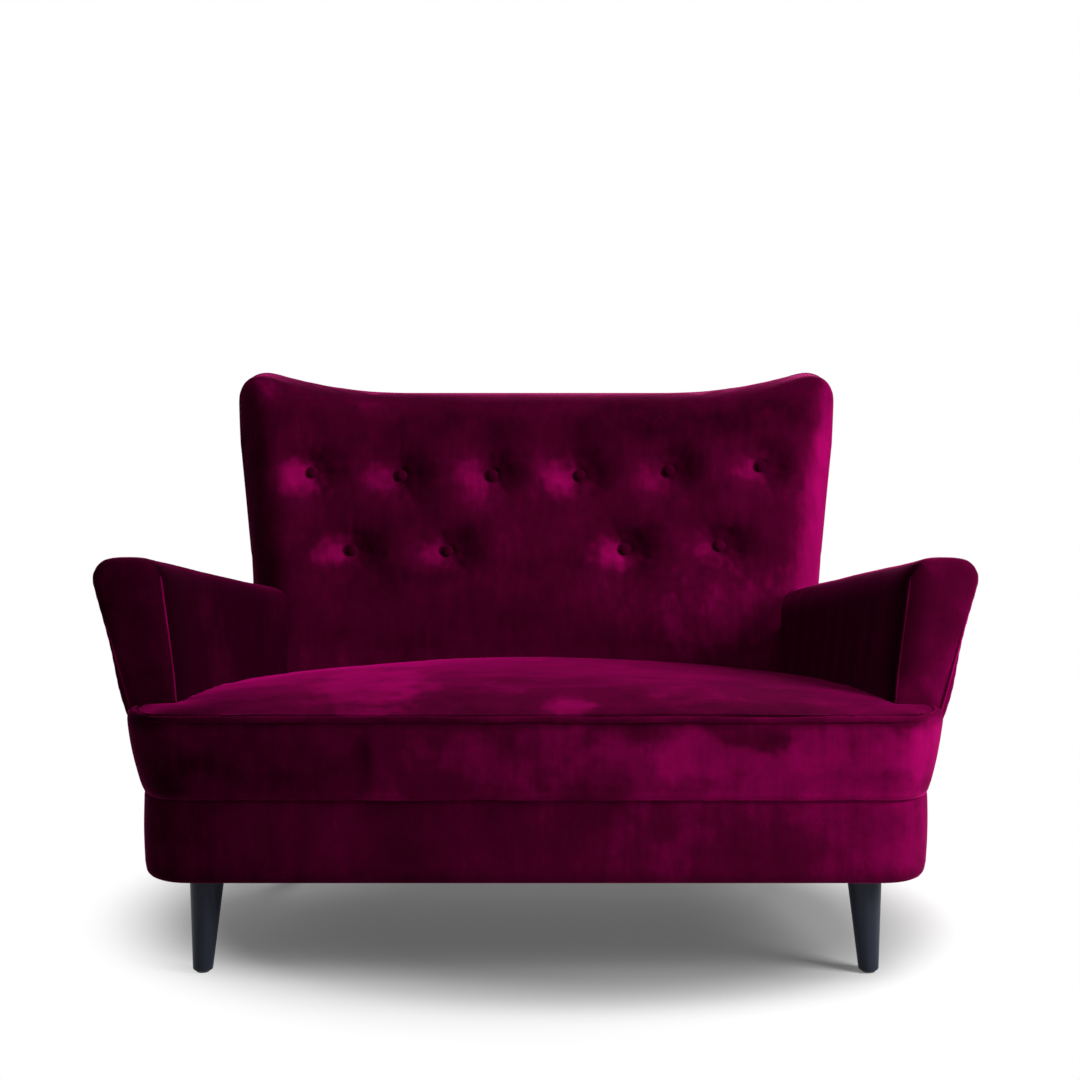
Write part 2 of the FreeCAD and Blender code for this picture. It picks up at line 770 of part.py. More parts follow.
BACK_FOOT = f"(Sizes.base_depth - Sizes.back_seat_thickness - {FRONT_SLOPE} * Sizes.seat_border)"
SPRING_RAIL_FRONT = f"({BACK_FOOT} - Sizes.spring_rail_setback)"
SPRING_RAIL_LOW = f"({RAIL_BOTTOM} + Sizes.centre_rail_height)"
SPRING_RAIL_REAR = f"({SPRING_RAIL_FRONT} + Sizes.rail_thickness)"
spring_rail_corners = []
for sign, depth in ((-1, SPRING_RAIL_FRONT), (1, SPRING_RAIL_FRONT), (1, SPRING_RAIL_REAR), (-1, SPRING_RAIL_REAR)):
    spring_rail_corners.append((f"{sign} * {side_expression(depth, BEHIND_FRONT_RAIL)}", f"{depth} - {MIDDLE}"))
spring_rail = keep("spring_rail", padded_body("spring_rail", "XY_Plane", spring_rail_corners,
                                              f"{BASE_TOP} - {SPRING_RAIL_LOW}"))
spring_rail.setExpression("Placement.Base.z", SPRING_RAIL_LOW)

# Legs, with their plates, bolts, screws and glides

LEGS = {}
for end, depth, rake_sign in (("front", "Sizes.leg_front_depth", -1), ("rear", "(Sizes.base_depth - Sizes.leg_rear_setback)", 1)):
    for side, sign in (("left", -1), ("right", 1)):
        LEGS[f"leg_{end}_{side}"] = (depth, sign, rake_sign)


def leg_centre(end, sign):
    """Plan place of a leg's top."""
    depth = size.leg_front_depth if end == "front" else leg_rear_depth
    return Vector(sign * (side_at(depth, behind_front_rail) - size.leg_side_offset), y_at(depth), 0)


def make_leg(label, depth, sign, rake_sign):
    """A round tapered leg, leaning outwards, cut level at both ends and bored for its bolt."""
    owner = body(label)
    top = f"({RAIL_BOTTOM} - Sizes.glide_height)"
    foot_circle = sketch(owner, "XY_Plane", label + "_foot_circle")
    draw_circle(foot_circle, f"{sign} * Sizes.leg_splay", f"{rake_sign} * Sizes.leg_rake", "Sizes.leg_foot_radius")
    top_circle = sketch(owner, "XY_Plane", label + "_top_circle", top)
    draw_circle(top_circle, ZERO, ZERO, "Sizes.leg_top_radius")
    taper = owner.newObject("PartDesign::AdditiveLoft", label + "_taper")
    taper.Profile = foot_circle
    taper.Sections = [top_circle]
    taper.Ruled = True
    bolt_circle = sketch(owner, "XY_Plane", label + "_bolt_circle", top)
    draw_circle(bolt_circle, ZERO, ZERO, "Sizes.bolt_radius")
    bore = owner.newObject("PartDesign::Pocket", label + "_bore")
    bore.Profile = bolt_circle
    bore.setExpression("Length", "Sizes.bolt_depth")
    document.recompute()
    rim = [f"Edge{index + 1}" for index, edge in enumerate(bore.Shape.Edges)
           if edge.BoundBox.ZMax < size.glide_height and len(edge.Vertexes) == 1]
    foot_round = owner.newObject("PartDesign::Fillet", label + "_foot_round")
    foot_round.Base = (bore, rim)
    foot_round.setExpression("Radius", "Sizes.leg_foot_round")
    owner.setExpression("Placement.Base.x", f"{sign} * ({side_expression(depth, BEHIND_FRONT_RAIL)}"
                                            " - Sizes.leg_side_offset)")
    owner.setExpression("Placement.Base.y", f"{depth} - {MIDDLE}")
    owner.setExpression("Placement.Base.z", "Sizes.glide_height")
    return keep(label, owner)


for label, (depth, sign, rake_sign) in LEGS.items():
    make_leg(label, depth, sign, rake_sign)

glide = turned_body("glide", [(ZERO, ZERO),
                              ("Sizes.glide_radius - Sizes.glide_height / 2", ZERO),
                              ("Sizes.glide_radius", "Sizes.glide_height / 2"),
                              ("Sizes.glide_radius", "Sizes.glide_height"),
                              (ZERO, "Sizes.glide_height")])

half_plate = "Sizes.plate_side / 2"
plate_screw_spots = [(f"{x} * Sizes.plate_screw_offset", f"{y} * Sizes.plate_screw_offset")
                     for x in (-1, 1) for y in (-1, 1)]
plate = padded_body(
    "plate", "XY_Plane",
    [(f"-{half_plate}", f"-{half_plate}"), (half_plate, f"-{half_plate}"),
     (half_plate, half_plate), (f"-{half_plate}", half_plate)],
    "Sizes.plate_thickness",
    [(ZERO, ZERO, "Sizes.bolt_radius")]
    + [(x, y, "Sizes.plate_screw_radius") for x, y in plate_screw_spots])

HEAD_RISE = "(Sizes.plate_screw_head - Sizes.plate_screw_radius)"
screw = turned_body("screw", [(ZERO, f"-{HEAD_RISE}"),
                              ("Sizes.plate_screw_head", f"-{HEAD_RISE}"),
                              ("Sizes.plate_screw_radius", ZERO),
                              ("Sizes.plate_screw_radius", "Sizes.plate_screw_length - Sizes.plate_screw_head"),
                              (ZERO, "Sizes.plate_screw_length")])

bolt = document.addObject("Part::Cylinder", "bolt")
bind(bolt, Radius="Sizes.bolt_radius", Height="Sizes.bolt_depth + Sizes.plate_thickness + Sizes.bolt_rise")


def block_corners(sign, first, last):
    corners = []
    for depth, reach in ((first, ZERO), (last, ZERO), (last, "Sizes.block_length"), (first, "Sizes.block_length")):
        corners.append((f"{sign} * ({side_expression(depth, BEHIND_FRONT_RAIL)} - {reach})",
                        f"{depth} - {MIDDLE}"))
    return corners


block_bodies = []
for end, first, last in (("front", BEHIND_FRONT_RAIL, f"({BEHIND_FRONT_RAIL} + Sizes.block_length)"),
                         ("rear", f"({BEFORE_REAR_RAIL} - Sizes.block_length)", BEFORE_REAR_RAIL)):
    for side, sign in (("left", -1), ("right", 1)):
        block = padded_body(f"block_{end}_{side}", "XY_Plane", block_corners(sign, first, last), "Sizes.block_height")
        block.setExpression("Placement.Base.z", f"{RAIL_BOTTOM} + Sizes.plate_thickness")
        block_bodies.append(block)
document.recompute()

leg_spots = [leg_centre(end, sign) for end in ("front", "rear") for sign in (-1, 1)]
upright = Rotation()
copies("foot_glides", glide, [
    Placement(spot + Vector(sign * size.leg_splay, rake * size.leg_rake, 0), upright)
    for spot, sign, rake in zip(leg_spots, (-1, 1, -1, 1), (-1, -1, 1, 1))])
copies("leg_plates", plate, [Placement(spot + Vector(0, 0, rail_bottom), upright) for spot in leg_spots])
screws = copies("plate_screws", screw, [
    Placement(spot + Vector(x * size.plate_screw_offset, y * size.plate_screw_offset, rail_bottom), upright)
    for spot in leg_spots for x in (-1, 1) for y in (-1, 1)])
bolts = copies("leg_bolts", bolt, [Placement(spot + Vector(0, 0, rail_bottom - size.bolt_depth), upright)
                                   for spot in leg_spots])
blocks = Part.makeCompound([block.Shape for block in block_bodies])
feature("corner_blocks", blocks.cut([screws.Shape, bolts.Shape, dowels.Shape]))

# Seat springs, clips and tie wires

spring_level = base_top + size.clip_sheet + size.soft_gap + size.spring_wire
spring_front = y_at(rail_inset + size.rail_thickness / 2)
spring_rail_depth = front_depth_at(base_top) - size.spring_rail_setback
spring_rear = y_at(spring_rail_depth + size.rail_thickness / 2)
run_count = 2 * round((spring_rear - spring_front) / (4 * size.spring_bend)) + 1
bend_radius = (spring_rear - spring_front) / (2 * (run_count - 1))
spring_reach = (side_at(spring_rail_depth) - size.arm_rear_foot_width - size.spring_edge)
spring_count = max(int(round(size.spring_count)), 2)
spring_xs = [share_between(-spring_reach, spring_reach, index / (spring_count - 1))
             for index in range(spring_count)]


def sinuous_path(half_width, bend, runs):
    """Straight runs joined by half turns, each half turn as two quarter arcs."""
    edges = []
    slant = bend * math.sqrt(0.5)
    for index in range(runs):
        sign = 1 if index % 2 == 0 else -1
        y = 2 * bend * index
        start = Vector(-sign * half_width, y, 0)
        end = Vector(sign * half_width, y, 0)
        edges.append(Part.LineSegment(start, end).toShape())
        if index == runs - 1:
            break
        centre = Vector(sign * half_width, y + bend, 0)
        outer = centre + Vector(sign * bend, 0, 0)
        edges.append(Part.Arc(end, centre + Vector(sign * slant, -slant, 0), outer).toShape())
        edges.append(Part.Arc(outer, centre + Vector(sign * slant, slant, 0),
                              centre + Vector(0, bend, 0)).toShape())
    return Part.Wire(edges)


spring_path = sinuous_path(size.spring_half_width, bend_radius, run_count)
spring_shape = swept_cord(spring_path, size.spring_wire)
wire_share = spring_shape.Volume / (math.pi * size.spring_wire ** 2 * spring_path.Length)
print(f"spring: wire volume over section times length {wire_share:.4f}, "
      f"gap between runs {2 * (bend_radius - size.spring_wire):.2f}")
feature("seat_springs", Part.makeCompound([
    placed(spring_shape, Placement(Vector(x, spring_front, spring_level), upright)) for x in spring_xs]))

CLIP_INNER = "(Sizes.spring_wire + Sizes.soft_gap)"
CLIP_OUTER = "(Sizes.spring_wire + Sizes.soft_gap + Sizes.clip_sheet)"
CLIP_MOUTH = "(3 * Sizes.spring_wire + Sizes.clip_sheet)"
clip = padded_body("clip", "YZ_Plane", [
    (f"-{CLIP_OUTER}", f"-{CLIP_OUTER}"), (CLIP_MOUTH, f"-{CLIP_OUTER}"), (CLIP_MOUTH, f"-{CLIP_INNER}"),
    (f"-{CLIP_INNER}", f"-{CLIP_INNER}"), (f"-{CLIP_INNER}", CLIP_INNER), (CLIP_MOUTH, CLIP_INNER),
    (CLIP_MOUTH, CLIP_OUTER), (f"-{CLIP_OUTER}", CLIP_OUTER)], "Sizes.clip_width", midplane=True)
document.recompute()
turned_about = Rotation(Vector(0, 0, 1), 180)
copies("spring_clips", clip, [Placement(Vector(x, spring_front, spring_level), upright) for x in spring_xs]
       + [Placement(Vector(x, spring_rear, spring_level), turned_about) for x in spring_xs])

tie_half = spring_reach + size.spring_half_width + bend_radius
tie = document.addObject("Part::Cylinder", "tie")
bind(tie, Radius="Sizes.tie_wire")
tie.Height = 2 * tie_half
document.recompute()
tie_level = spring_level + size.spring_wire + size.tie_wire
across = Rotation(Vector(0, 1, 0), 90)
tie_count = max(int(round(size.tie_count)), 1)
tie_places = []
for index in range(tie_count):
    run = round(run_count * (index + 1) / (tie_count + 1))
    tie_places.append(Placement(Vector(-tie_half, spring_front + bend_radius * (2 * run + 1), tie_level), across))
copies("spring_tie_wires", tie, tie_places)

# Covers and wadding of the base

front_seam = size.arm_setback - size.arm_welt
rear_seam = size.base_depth - size.base_rear_corner - size.base_edge
half_seam = size.seam_gap / 2
ZONES = {
    "front": [room(-far, far, -far, y_at(front_seam) - half_seam, -far, far)],
    "rear": [room(-far, far, y_at(rear_seam) + half_seam, far, -far, far)],
    "left": [room(-far, 0, y_at(front_seam) + half_seam, y_at(rear_seam) - half_seam, -far, far)],
    "right": [room(0, far, y_at(front_seam) + half_seam, y_at(rear_seam) - half_seam, -far, far)],
}
rail_skin = base_form(0, base_top).cut(base_form(size.cover, base_top + far))
rail_skin = rail_skin.cut(base_prism(size.cover_turn_under, size.leg_height - far, base_top))
wadding_ring = base_form(size.cover + size.soft_gap, base_top).cut(
    base_prism(rail_inset - size.soft_gap, size.leg_height - far, base_top + far))
for place, zone in ZONES.items():
    feature(f"rail_cover_{place}", rail_skin.common(zone))
feature("rail_wadding", Part.makeCompound([wadding_ring.common(zone) for zone in ZONES.values()]))

dust_low = size.leg_height + size.cover + size.soft_gap
dust_cover = base_prism(size.base_edge + size.soft_gap, dust_low, dust_low + size.cloth)
leg_hole = size.plate_side / 2 + size.board
for spot in leg_spots:
    dust_cover = dust_cover.cut(room(spot.x - leg_hole, spot.x + leg_hole, spot.y - leg_hole, spot.y + leg_hole,
                                     dust_low - size.board, base_top))
feature("dust_cover", dust_cover)

# The back

back_low = base_top + size.soft_gap
back_grown = back_form(-size.soft_gap, base_top - size.board)
outer_back = back_form(0, back_low).cut([placed(tuft_tool(0), at_spot(spot)) for spot in upper_spots + lower_spots])
inner_back = back_form(size.cover, back_low)
inner_back = inner_back.cut([placed(tuft_tool(size.cover), at_spot(spot)) for spot in upper_spots + lower_spots])


def leaning_layer(near, deep):
    """Everything between two distances from the back's rear face."""
    return placed(room(-far, far, -far, far, near, deep), back_place)


def outline_prism(inset, low):
    return prism(upright_wire(back_corners(inset, low), back_radii(inset), y_at(-far)), Vector(0, 2 * far, 0))


board_rear = size.cover + size.soft_gap
timber_rear = board_rear + size.board
timber_front = timber_rear + size.rail_thickness
upright_strap_rear = timber_front + size.strap
cloth_rear = upright_strap_rear + size.strap + size.soft_gap
foam_rear = cloth_rear + size.cloth + size.soft_gap

spots = upper_spots + lower_spots
twine_holes = [placed(Part.makeCylinder(size.twine_hole, spot.z), back_place.multiply(
    Placement(Vector(spot.x, spot.y, 0), upright))) for spot in spots]

back_skin = outer_back.cut(inner_back)
feature("inside_back_cover", back_skin.common(leaning_layer(size.back_seam + half_seam, far)).cut(twine_holes))
feature("outside_back_cover", back_skin.common(leaning_layer(-far, size.back_seam - half_seam)))

foam = back_form(size.cover + size.soft_gap, back_low)
foam = foam.cut([placed(tuft_tool(size.cover + size.soft_gap), at_spot(spot)) for spot in spots])
hollow = outline_prism(size.back_timber_inset - size.soft_gap, base_top - far).common(leaning_layer(-far, foam_rear))
foam = foam.cut(hollow).cut(twine_holes)
joint = size.back_foam_joint
feature("back_foam", Part.makeCompound([
    foam.common(room(low_x, high_x, -far, far, -far, far))
    for low_x, high_x in ((-far, -joint), (-joint, joint), (joint, far))]))

timber_outline = outline_prism(size.back_timber_inset, base_top)
inner_outline = outline_prism(size.back_timber_inset + size.back_rail_width, base_top)
above_lower_rail = base_top + size.back_rail_width
below_top_rail = dip_height - size.back_timber_inset - size.back_rail_width
timber_layer = leaning_layer(timber_rear, timber_front)
timber = timber_outline.common(timber_layer)
window = inner_outline.common(room(-far, far, -far, far, above_lower_rail, below_top_rail))
post_inner = size.base_rear_half - size.back_timber_inset - size.back_rail_width
ring = timber.cut(window)
lower_zone = room(-post_inner, post_inner, -far, far, base_top, above_lower_rail)
top_zone = room(-far, far, -far, far, below_top_rail, far)
feature("back_lower_rail", ring.common(lower_zone))
feature("back_top_rail", ring.common(top_zone))
posts = ring.cut([lower_zone, top_zone])
feature("back_post_left", posts.common(room(-far, 0, -far, far, -far, far)))
feature("back_post_right", posts.common(room(0, far, -far, far, -far, far)))
upright_half = size.upright_width / 2
feature("back_uprights", Part.makeCompound([
    timber.common(room(x - upright_half, x + upright_half, -far, far, above_lower_rail, below_top_rail))
    for x in (-size.upright_place, size.upright_place)]))
feature("outside_back_board", timber_outline.common(leaning_layer(board_rear, timber_rear)))

strap_outline = outline_prism(size.back_timber_inset + size.board, base_top)
half_strap = size.strap_width / 2
level_zones = []
for share in LEVEL_STRAP_SHARES:
    level = share_between(base_top, back_top, share)
    level_zones.append(room(-far, far, -far, far, level - half_strap, level + half_strap))
upright_zones = []
for share in UPRIGHT_STRAP_SHARES:
    place = share * back_top_half
    upright_zones.append(room(place - half_strap, place + half_strap, -far, far, base_top, far))
level_layer = strap_outline.common(leaning_layer(timber_front, upright_strap_rear))
upright_layer = strap_outline.common(leaning_layer(upright_strap_rear, upright_strap_rear + size.strap))
feature("back_straps", Part.makeCompound([level_layer.common(zone).cut(twine_holes) for zone in level_zones]
                                         + [upright_layer.common(zone).cut(twine_holes) for zone in upright_zones]))
feature("back_cloth", timber_outline.common(leaning_layer(cloth_rear, cloth_rear + size.cloth)).cut(twine_holes))

# Buttons, twines and toggles

button = turned_body("button", [
    (ZERO, ZERO),
    ("Sizes.button_radius - Sizes.button_rim / 2", ZERO),
    ("Sizes.button_radius", "Sizes.button_rim / 2"),
    ("Sizes.button_radius", "Sizes.button_rim")]
    + [(f"Sizes.button_radius * {out}", f"Sizes.button_rim + Sizes.button_dome * {up}")
       for out, up in BUTTON_DOME_SHARES]
    + [(ZERO, "Sizes.button_rim + Sizes.button_dome")])
toggle = padded_body("toggle", "XY_Plane", [
    ("-Sizes.toggle_radius", "-Sizes.toggle_radius / 2"), ("Sizes.toggle_radius", "-Sizes.toggle_radius / 2"),
    ("Sizes.toggle_radius", "Sizes.toggle_radius / 2"), ("-Sizes.toggle_radius", "Sizes.toggle_radius / 2")],
    "Sizes.toggle_thickness", [(ZERO, ZERO, "Sizes.twine_hole")])
document.recompute()

button_sink = size.tuft_depth - size.soft_gap
copies("back_buttons_upper", button, [at_spot(spot, button_sink) for spot in upper_spots])
copies("back_buttons_lower", button, [at_spot(spot, button_sink) for spot in lower_spots])
copies("button_toggles", toggle, [
    at_spot(Vector(spot.x, spot.y, timber_front - size.toggle_thickness)) for spot in spots])
twine_rear = timber_front - size.toggle_thickness
twines = []
for spot in spots:
    length = spot.z - button_sink - twine_rear
    twines.append(placed(Part.makeCylinder(size.twine_radius, length), at_spot(Vector(spot.x, spot.y, twine_rear))))
feature("button_twines", Part.makeCompound(twines))

# The arms

beyond = -size.arm_overrun
soft_inset = size.cover + size.soft_gap
padding_inset = soft_inset + size.arm_padding
post_rear = y_at(size.arm_setback + arm_front + size.rail_thickness)


def outer_zone(change):
    """The outer side of an arm below the seam under its rounded top."""
    return arm_form(size.arm_front_foot_width / 2, size.arm_seam_drop + change, beyond, beyond, beyond, 0)


arm_shell = arm_form(0, 0, 0, arm_front, size.soft_gap).cut(
    arm_form(size.cover, size.cover, size.cover, beyond, beyond)).cut(back_grown)


def arm_hard(inner, outer):
    """Timber and boards: under the padding, and inside the rounding of the arm's outer side."""
    padded = arm_form(inner, arm_board_inner, outer, arm_front, 0, 1)
    return padded.common(arm_form(outer, outer, outer, arm_front)).cut(back_grown)


arm_core = arm_hard(arm_timber_inner, arm_timber_outer)
arm_pieces = {
    "inside_arm_cover": arm_shell.cut(outer_zone(-half_seam)),
    "outside_arm_cover": arm_shell.common(outer_zone(half_seam)),
    "arm_foam": arm_form(soft_inset, soft_inset, soft_inset, arm_front, size.soft_gap).cut(
        arm_form(padding_inset, padding_inset, size.cover / 2, beyond, beyond, 1)).cut(back_grown),
    "arm_post": arm_core.common(room(-far, far, -far, post_rear, -far, far)),
    "arm_top_rail": arm_core.cut(arm_form(beyond, arm_board_inner + size.arm_rail_height, beyond, beyond, beyond, 0))
    .common(room(-far, far, post_rear, far, -far, far)),
    "arm_lower_rail": arm_core.common(room(-far, far, post_rear, far, -far, base_top + size.arm_rail_height)),
    "arm_inner_board": arm_hard(arm_board_inner, arm_timber_outer).cut(
        arm_form(arm_timber_inner, beyond, beyond, beyond, beyond, 0)),
    "arm_outer_board": arm_hard(arm_timber_inner, arm_board_outer).cut(
        arm_form(beyond, beyond, arm_timber_outer, beyond, beyond, 0)),
    "arm_facing": arm_form(facing_rear + size.soft_gap, facing_rear + size.soft_gap, facing_rear + size.soft_gap,
                           -size.facing_proud, size.soft_gap).common(
        room(-far, far, -far, y_at(size.arm_setback + facing_rear), -far, far)),
}
welt_share = size.arm_welt / arm_span
welt_corners = arm_corners(welt_share, size.arm_welt, size.arm_welt, size.arm_welt, size.arm_welt / 2)
welt_radii = [0, size.arm_outer_round - size.arm_welt, size.arm_inner_round - size.arm_welt, 0]
welt_path = upright_wire(welt_corners[1:] + welt_corners[:1], welt_radii,
                         y_at(size.arm_setback + size.arm_welt), False)
arm_pieces["arm_welt"] = swept_cord(welt_path, size.arm_welt)
arm_pieces["arm_facing"] = arm_pieces["arm_facing"].cut(swept_cord(welt_path, size.arm_welt + size.soft_gap))
for label in ("inside_arm_cover", "outside_arm_cover", "arm_foam", "arm_facing", "arm_welt"):
    feature(label + "_right", arm_pieces[label])
    feature(label + "_left", mirrored(arm_pieces[label]))
for label in ("arm_post", "arm_top_rail", "arm_lower_rail", "arm_inner_board", "arm_outer_board"):
    feature(label + "s", Part.makeCompound([arm_pieces[label], mirrored(arm_pieces[label])]))

# The seat

deck_low = tie_level + size.tie_wire + size.soft_gap
deck_high = deck_low + size.cloth


def seat_tools(inset):
    gap = inset + size.seam_gap
    return (arm_form(-gap, -gap, -gap, -gap - size.facing_proud, -size.arm_overrun),
            back_form(-gap, base_top - size.base_height))


seat_low = base_top + size.soft_gap
outer_seat = seat_form(0, seat_low, *seat_tools(0))
inner_seat = seat_form(size.cover, seat_low - size.board, *seat_tools(size.cover))
foam_seat = seat_form(soft_inset, seat_low, *seat_tools(soft_inset))


def seat_welt_path():
    """The seat's welt, from the back of one T-end round the front to the other."""
    corners = seat_corners(seat_level, size.welt_radius - size.welt_proud)
    front_left, front_right, rear_right, rear_left = corners
    share = (y_at(t_end_rear - size.welt_radius) - front_right.y) / (rear_right.y - front_right.y)
    path = [front_left + (rear_left - front_left) * share, front_left, front_right,
            front_right + (rear_right - front_right) * share]
    wire = Part.Wire(rounded_edges(path, [0, size.base_corner, size.base_corner, 0], False))
    wire.translate(Vector(0, 0, seat_level))
    return wire


seat_welt = swept_cord(seat_welt_path(), size.welt_radius)
groove = swept_cord(seat_welt_path(), size.welt_radius + size.soft_gap)
seat_skin = outer_seat.cut(inner_seat)
over_welt = room(-far, far, -far, far, seat_level + half_seam, far)
under_welt = room(-far, far, -far, y_at(t_end_rear), -far, seat_level - half_seam)
feature("seat_cover", seat_skin.common(over_welt).cut(groove))
feature("seat_border_cover", seat_skin.common(under_welt).cut(groove))
feature("seat_welt", seat_welt)
feature("seat_foam", foam_seat.common(room(-far, far, -far, far, deck_high + size.soft_gap, far)).cut(groove))
feature("seat_deck_cloth", foam_seat.common(room(-far, far, -far, far, deck_low, deck_high)))

# Checks, then one file for each sub-part

document.recompute()
for item in document.Objects:
    if "Invalid" in item.State or "Error" in item.State:
        raise RuntimeError(f"{item.Label} failed: {item.State}")
for label, item in parts.items():
    shape = item.Shape
    if shape.isNull() or not shape.isValid() or not shape.Solids:
        raise RuntimeError(f"{label} has no sound shape")

os.makedirs("parts", exist_ok=True)
for label, item in parts.items():
    item.Shape.exportStep(f"parts/{label}.step")
print(f"{len(parts)} sub-parts, {sum(len(item.Shape.Solids) for item in parts.values())} solids")
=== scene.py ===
# %% [markdown]
# A two-seater sofa in magenta velvet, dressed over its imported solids
#
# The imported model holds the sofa's true sizes: the timber, the springs, the legs and a plain solid for
# every soft piece. This lesson gives each visible piece its looks. Everything is in metres, the front
# of the sofa faces -Y, +Z is up and the floor is at zero.

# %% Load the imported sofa
import json
import math
import bmesh
import bpy
import numpy as np
from mathutils import Matrix, Vector, noise
from mathutils.bvhtree import BVHTree


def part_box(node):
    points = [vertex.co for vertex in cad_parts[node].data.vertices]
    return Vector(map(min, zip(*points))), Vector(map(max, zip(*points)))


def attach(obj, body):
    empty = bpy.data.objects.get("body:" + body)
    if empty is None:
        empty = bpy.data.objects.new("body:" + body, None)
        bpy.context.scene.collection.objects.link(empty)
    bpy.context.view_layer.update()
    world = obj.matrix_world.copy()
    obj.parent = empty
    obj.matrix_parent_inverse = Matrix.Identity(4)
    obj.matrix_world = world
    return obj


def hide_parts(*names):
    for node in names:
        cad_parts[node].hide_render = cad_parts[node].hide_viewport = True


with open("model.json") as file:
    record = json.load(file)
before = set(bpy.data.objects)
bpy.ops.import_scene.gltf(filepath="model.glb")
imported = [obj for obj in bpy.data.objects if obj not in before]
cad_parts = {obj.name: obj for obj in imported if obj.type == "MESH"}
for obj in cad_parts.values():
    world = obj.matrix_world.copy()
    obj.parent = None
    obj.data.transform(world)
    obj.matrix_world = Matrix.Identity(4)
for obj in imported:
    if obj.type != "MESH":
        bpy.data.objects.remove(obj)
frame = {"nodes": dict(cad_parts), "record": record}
scene = bpy.context.scene
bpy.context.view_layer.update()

# %% [markdown]
# The camera
#
# The sofa was photographed from in front at a little over seat-back height, with a long lens, so the
# sides run almost straight back. The lens length is the one that makes the rear of the base look as
# much narrower as it does in the photograph.

# %% Set up the camera
def placed(name, data):
    """A new object in the scene."""
    item = bpy.data.objects.new(name, data)
    scene.collection.objects.link(item)
    return item


DOWN_TILT = 6.124
camera = bpy.data.cameras.new("camera")
camera.lens = 67.3
camera.sensor_width = 36
camera_object = placed("camera", camera)
camera_object.location = (0.0067, -3.385, 1.008)
camera_object.rotation_euler = (math.radians(90 - DOWN_TILT), 0, 0)
scene.camera = camera_object
print("camera lens", camera.lens, "mm")

# %% [markdown]
# Floor, world and lamps
#
# A white studio floor runs out to a white background. For the camera alone the floor is a little
# brighter than paper, so it meets the background without a line, but it keeps the soft grey shadow
# under the sofa, which is deepened by a painted shadow, a darker floor colour in an ellipse, as in the
# photograph. Velvet is mostly seen by its sheen, so the main lamp is a softbox on the right, which
# grazes the pile. A second one hangs above, a third stands behind, and the rest is filled by the pale room.


# %% A helper for node materials
def new_material(name):
    """A material without any nodes."""
    material = bpy.data.materials.new(name)
    material.use_nodes = True
    material.node_tree.nodes.clear()
    return material


def add_node(material, kind, **settings):
    """Adds a shader node. A setting that names a socket fills it, and any other is an attribute."""
    node = material.node_tree.nodes.new("ShaderNode" + kind)
    for key, value in settings.items():
        if key in node.inputs:
            node.inputs[key].default_value = value
        else:
            setattr(node, key, value)
    return node


def wire(material, *links):
    """Joins sockets. A link is a node, its output, the next node and its input."""
    for source, socket, target, into in links:
        material.node_tree.links.new(source.outputs[socket], target.inputs[into])


def seen_by_eye(owner):
    """1 for rays that the camera, a mirror or glass looks along, and 0 for light that bounces about."""
    path = add_node(owner, "LightPath")
    mirrored = add_node(owner, "Math", operation="MAXIMUM")
    seen = add_node(owner, "Math", operation="MAXIMUM")
    wire(owner, (path, "Is Glossy Ray", mirrored, 0), (path, "Is Transmission Ray", mirrored, 1),
         (path, "Is Camera Ray", seen, 0), (mirrored, "Value", seen, 1))
    return seen


def ellipse_fade(material, place, shift, stretch, limits, values):
    """Runs softly from the first of values to the second, outwards from an ellipse on the floor."""
    flatten = add_node(material, "Mapping", Location=shift, Scale=stretch)
    reach = add_node(material, "VectorMath", operation="LENGTH")
    fade = add_node(material, "MapRange", interpolation_type="SMOOTHSTEP")
    for setting, value in zip(("From Min", "From Max", "To Min", "To Max"), limits + values):
        fade.inputs[setting].default_value = value
    wire(material, (place, "Object", flatten, "Vector"), (flatten, "Vector", reach, 0),
         (reach, "Value", fade, "Value"))
    return fade


# %% Make the studio
def studio_floor():
    """Paper with a soft shadow for the eye, deepened by a painted shadow in an ellipse, white further out,
    and plain grey for bounced light.
    """
    material = new_material("studio_floor")
    output = add_node(material, "OutputMaterial")
    place = add_node(material, "TexCoord")
    plain = add_node(material, "BsdfDiffuse", Color=(0.75, 0.75, 0.75, 1))
    shaded = add_node(material, "BsdfDiffuse")
    lift = add_node(material, "Emission", Color=(1, 1, 1, 1), Strength=0.116)
    near = add_node(material, "AddShader")
    white = add_node(material, "Emission", Color=(1, 1, 1, 1), Strength=1.0)
    fade = ellipse_fade(material, place, (-0.05, -0.05, 0), (0.85, 1.0, 0), (0.50, 0.72), (0.0, 1.0))
    # Painted shadow: the floor's colour runs from 0.224 in an ellipse under the sofa to 0.8 outside it.
    grey = ellipse_fade(material, place, (-0.24, 0.10, 0), (2.0, 2.5, 0), (0.75, 1.4), (0.224, 0.8))
    seen = add_node(material, "MixShader")
    choose = add_node(material, "MixShader")
    wire(material, (grey, "Result", shaded, "Color"), (shaded, "BSDF", near, 0), (lift, "Emission", near, 1),
         (fade, "Result", seen, 0), (near, "Shader", seen, 1), (white, "Emission", seen, 2),
         (seen_by_eye(material), "Value", choose, 0), (plain, "BSDF", choose, 1), (seen, "Shader", choose, 2),
         (choose, "Shader", output, "Surface"))
    return material


floor_mesh = bmesh.new()
bmesh.ops.create_grid(floor_mesh, x_segments=1, y_segments=1, size=30)
floor_data = bpy.data.meshes.new("floor")
floor_mesh.to_mesh(floor_data)
floor_mesh.free()
floor_data.materials.append(studio_floor())
floor = placed("floor", floor_data)

world = bpy.data.worlds.new("studio_world")
world.use_nodes = True
scene.world = world
background = world.node_tree.nodes["Background"]
background.inputs["Color"].default_value = (1, 1, 1, 1)
strength = add_node(world, "MapRange")
strength.inputs["To Min"].default_value = 0.16
strength.inputs["To Max"].default_value = 1.0
wire(world, (seen_by_eye(world), "Value", strength, "Value"), (strength, "Result", background, "Strength"))


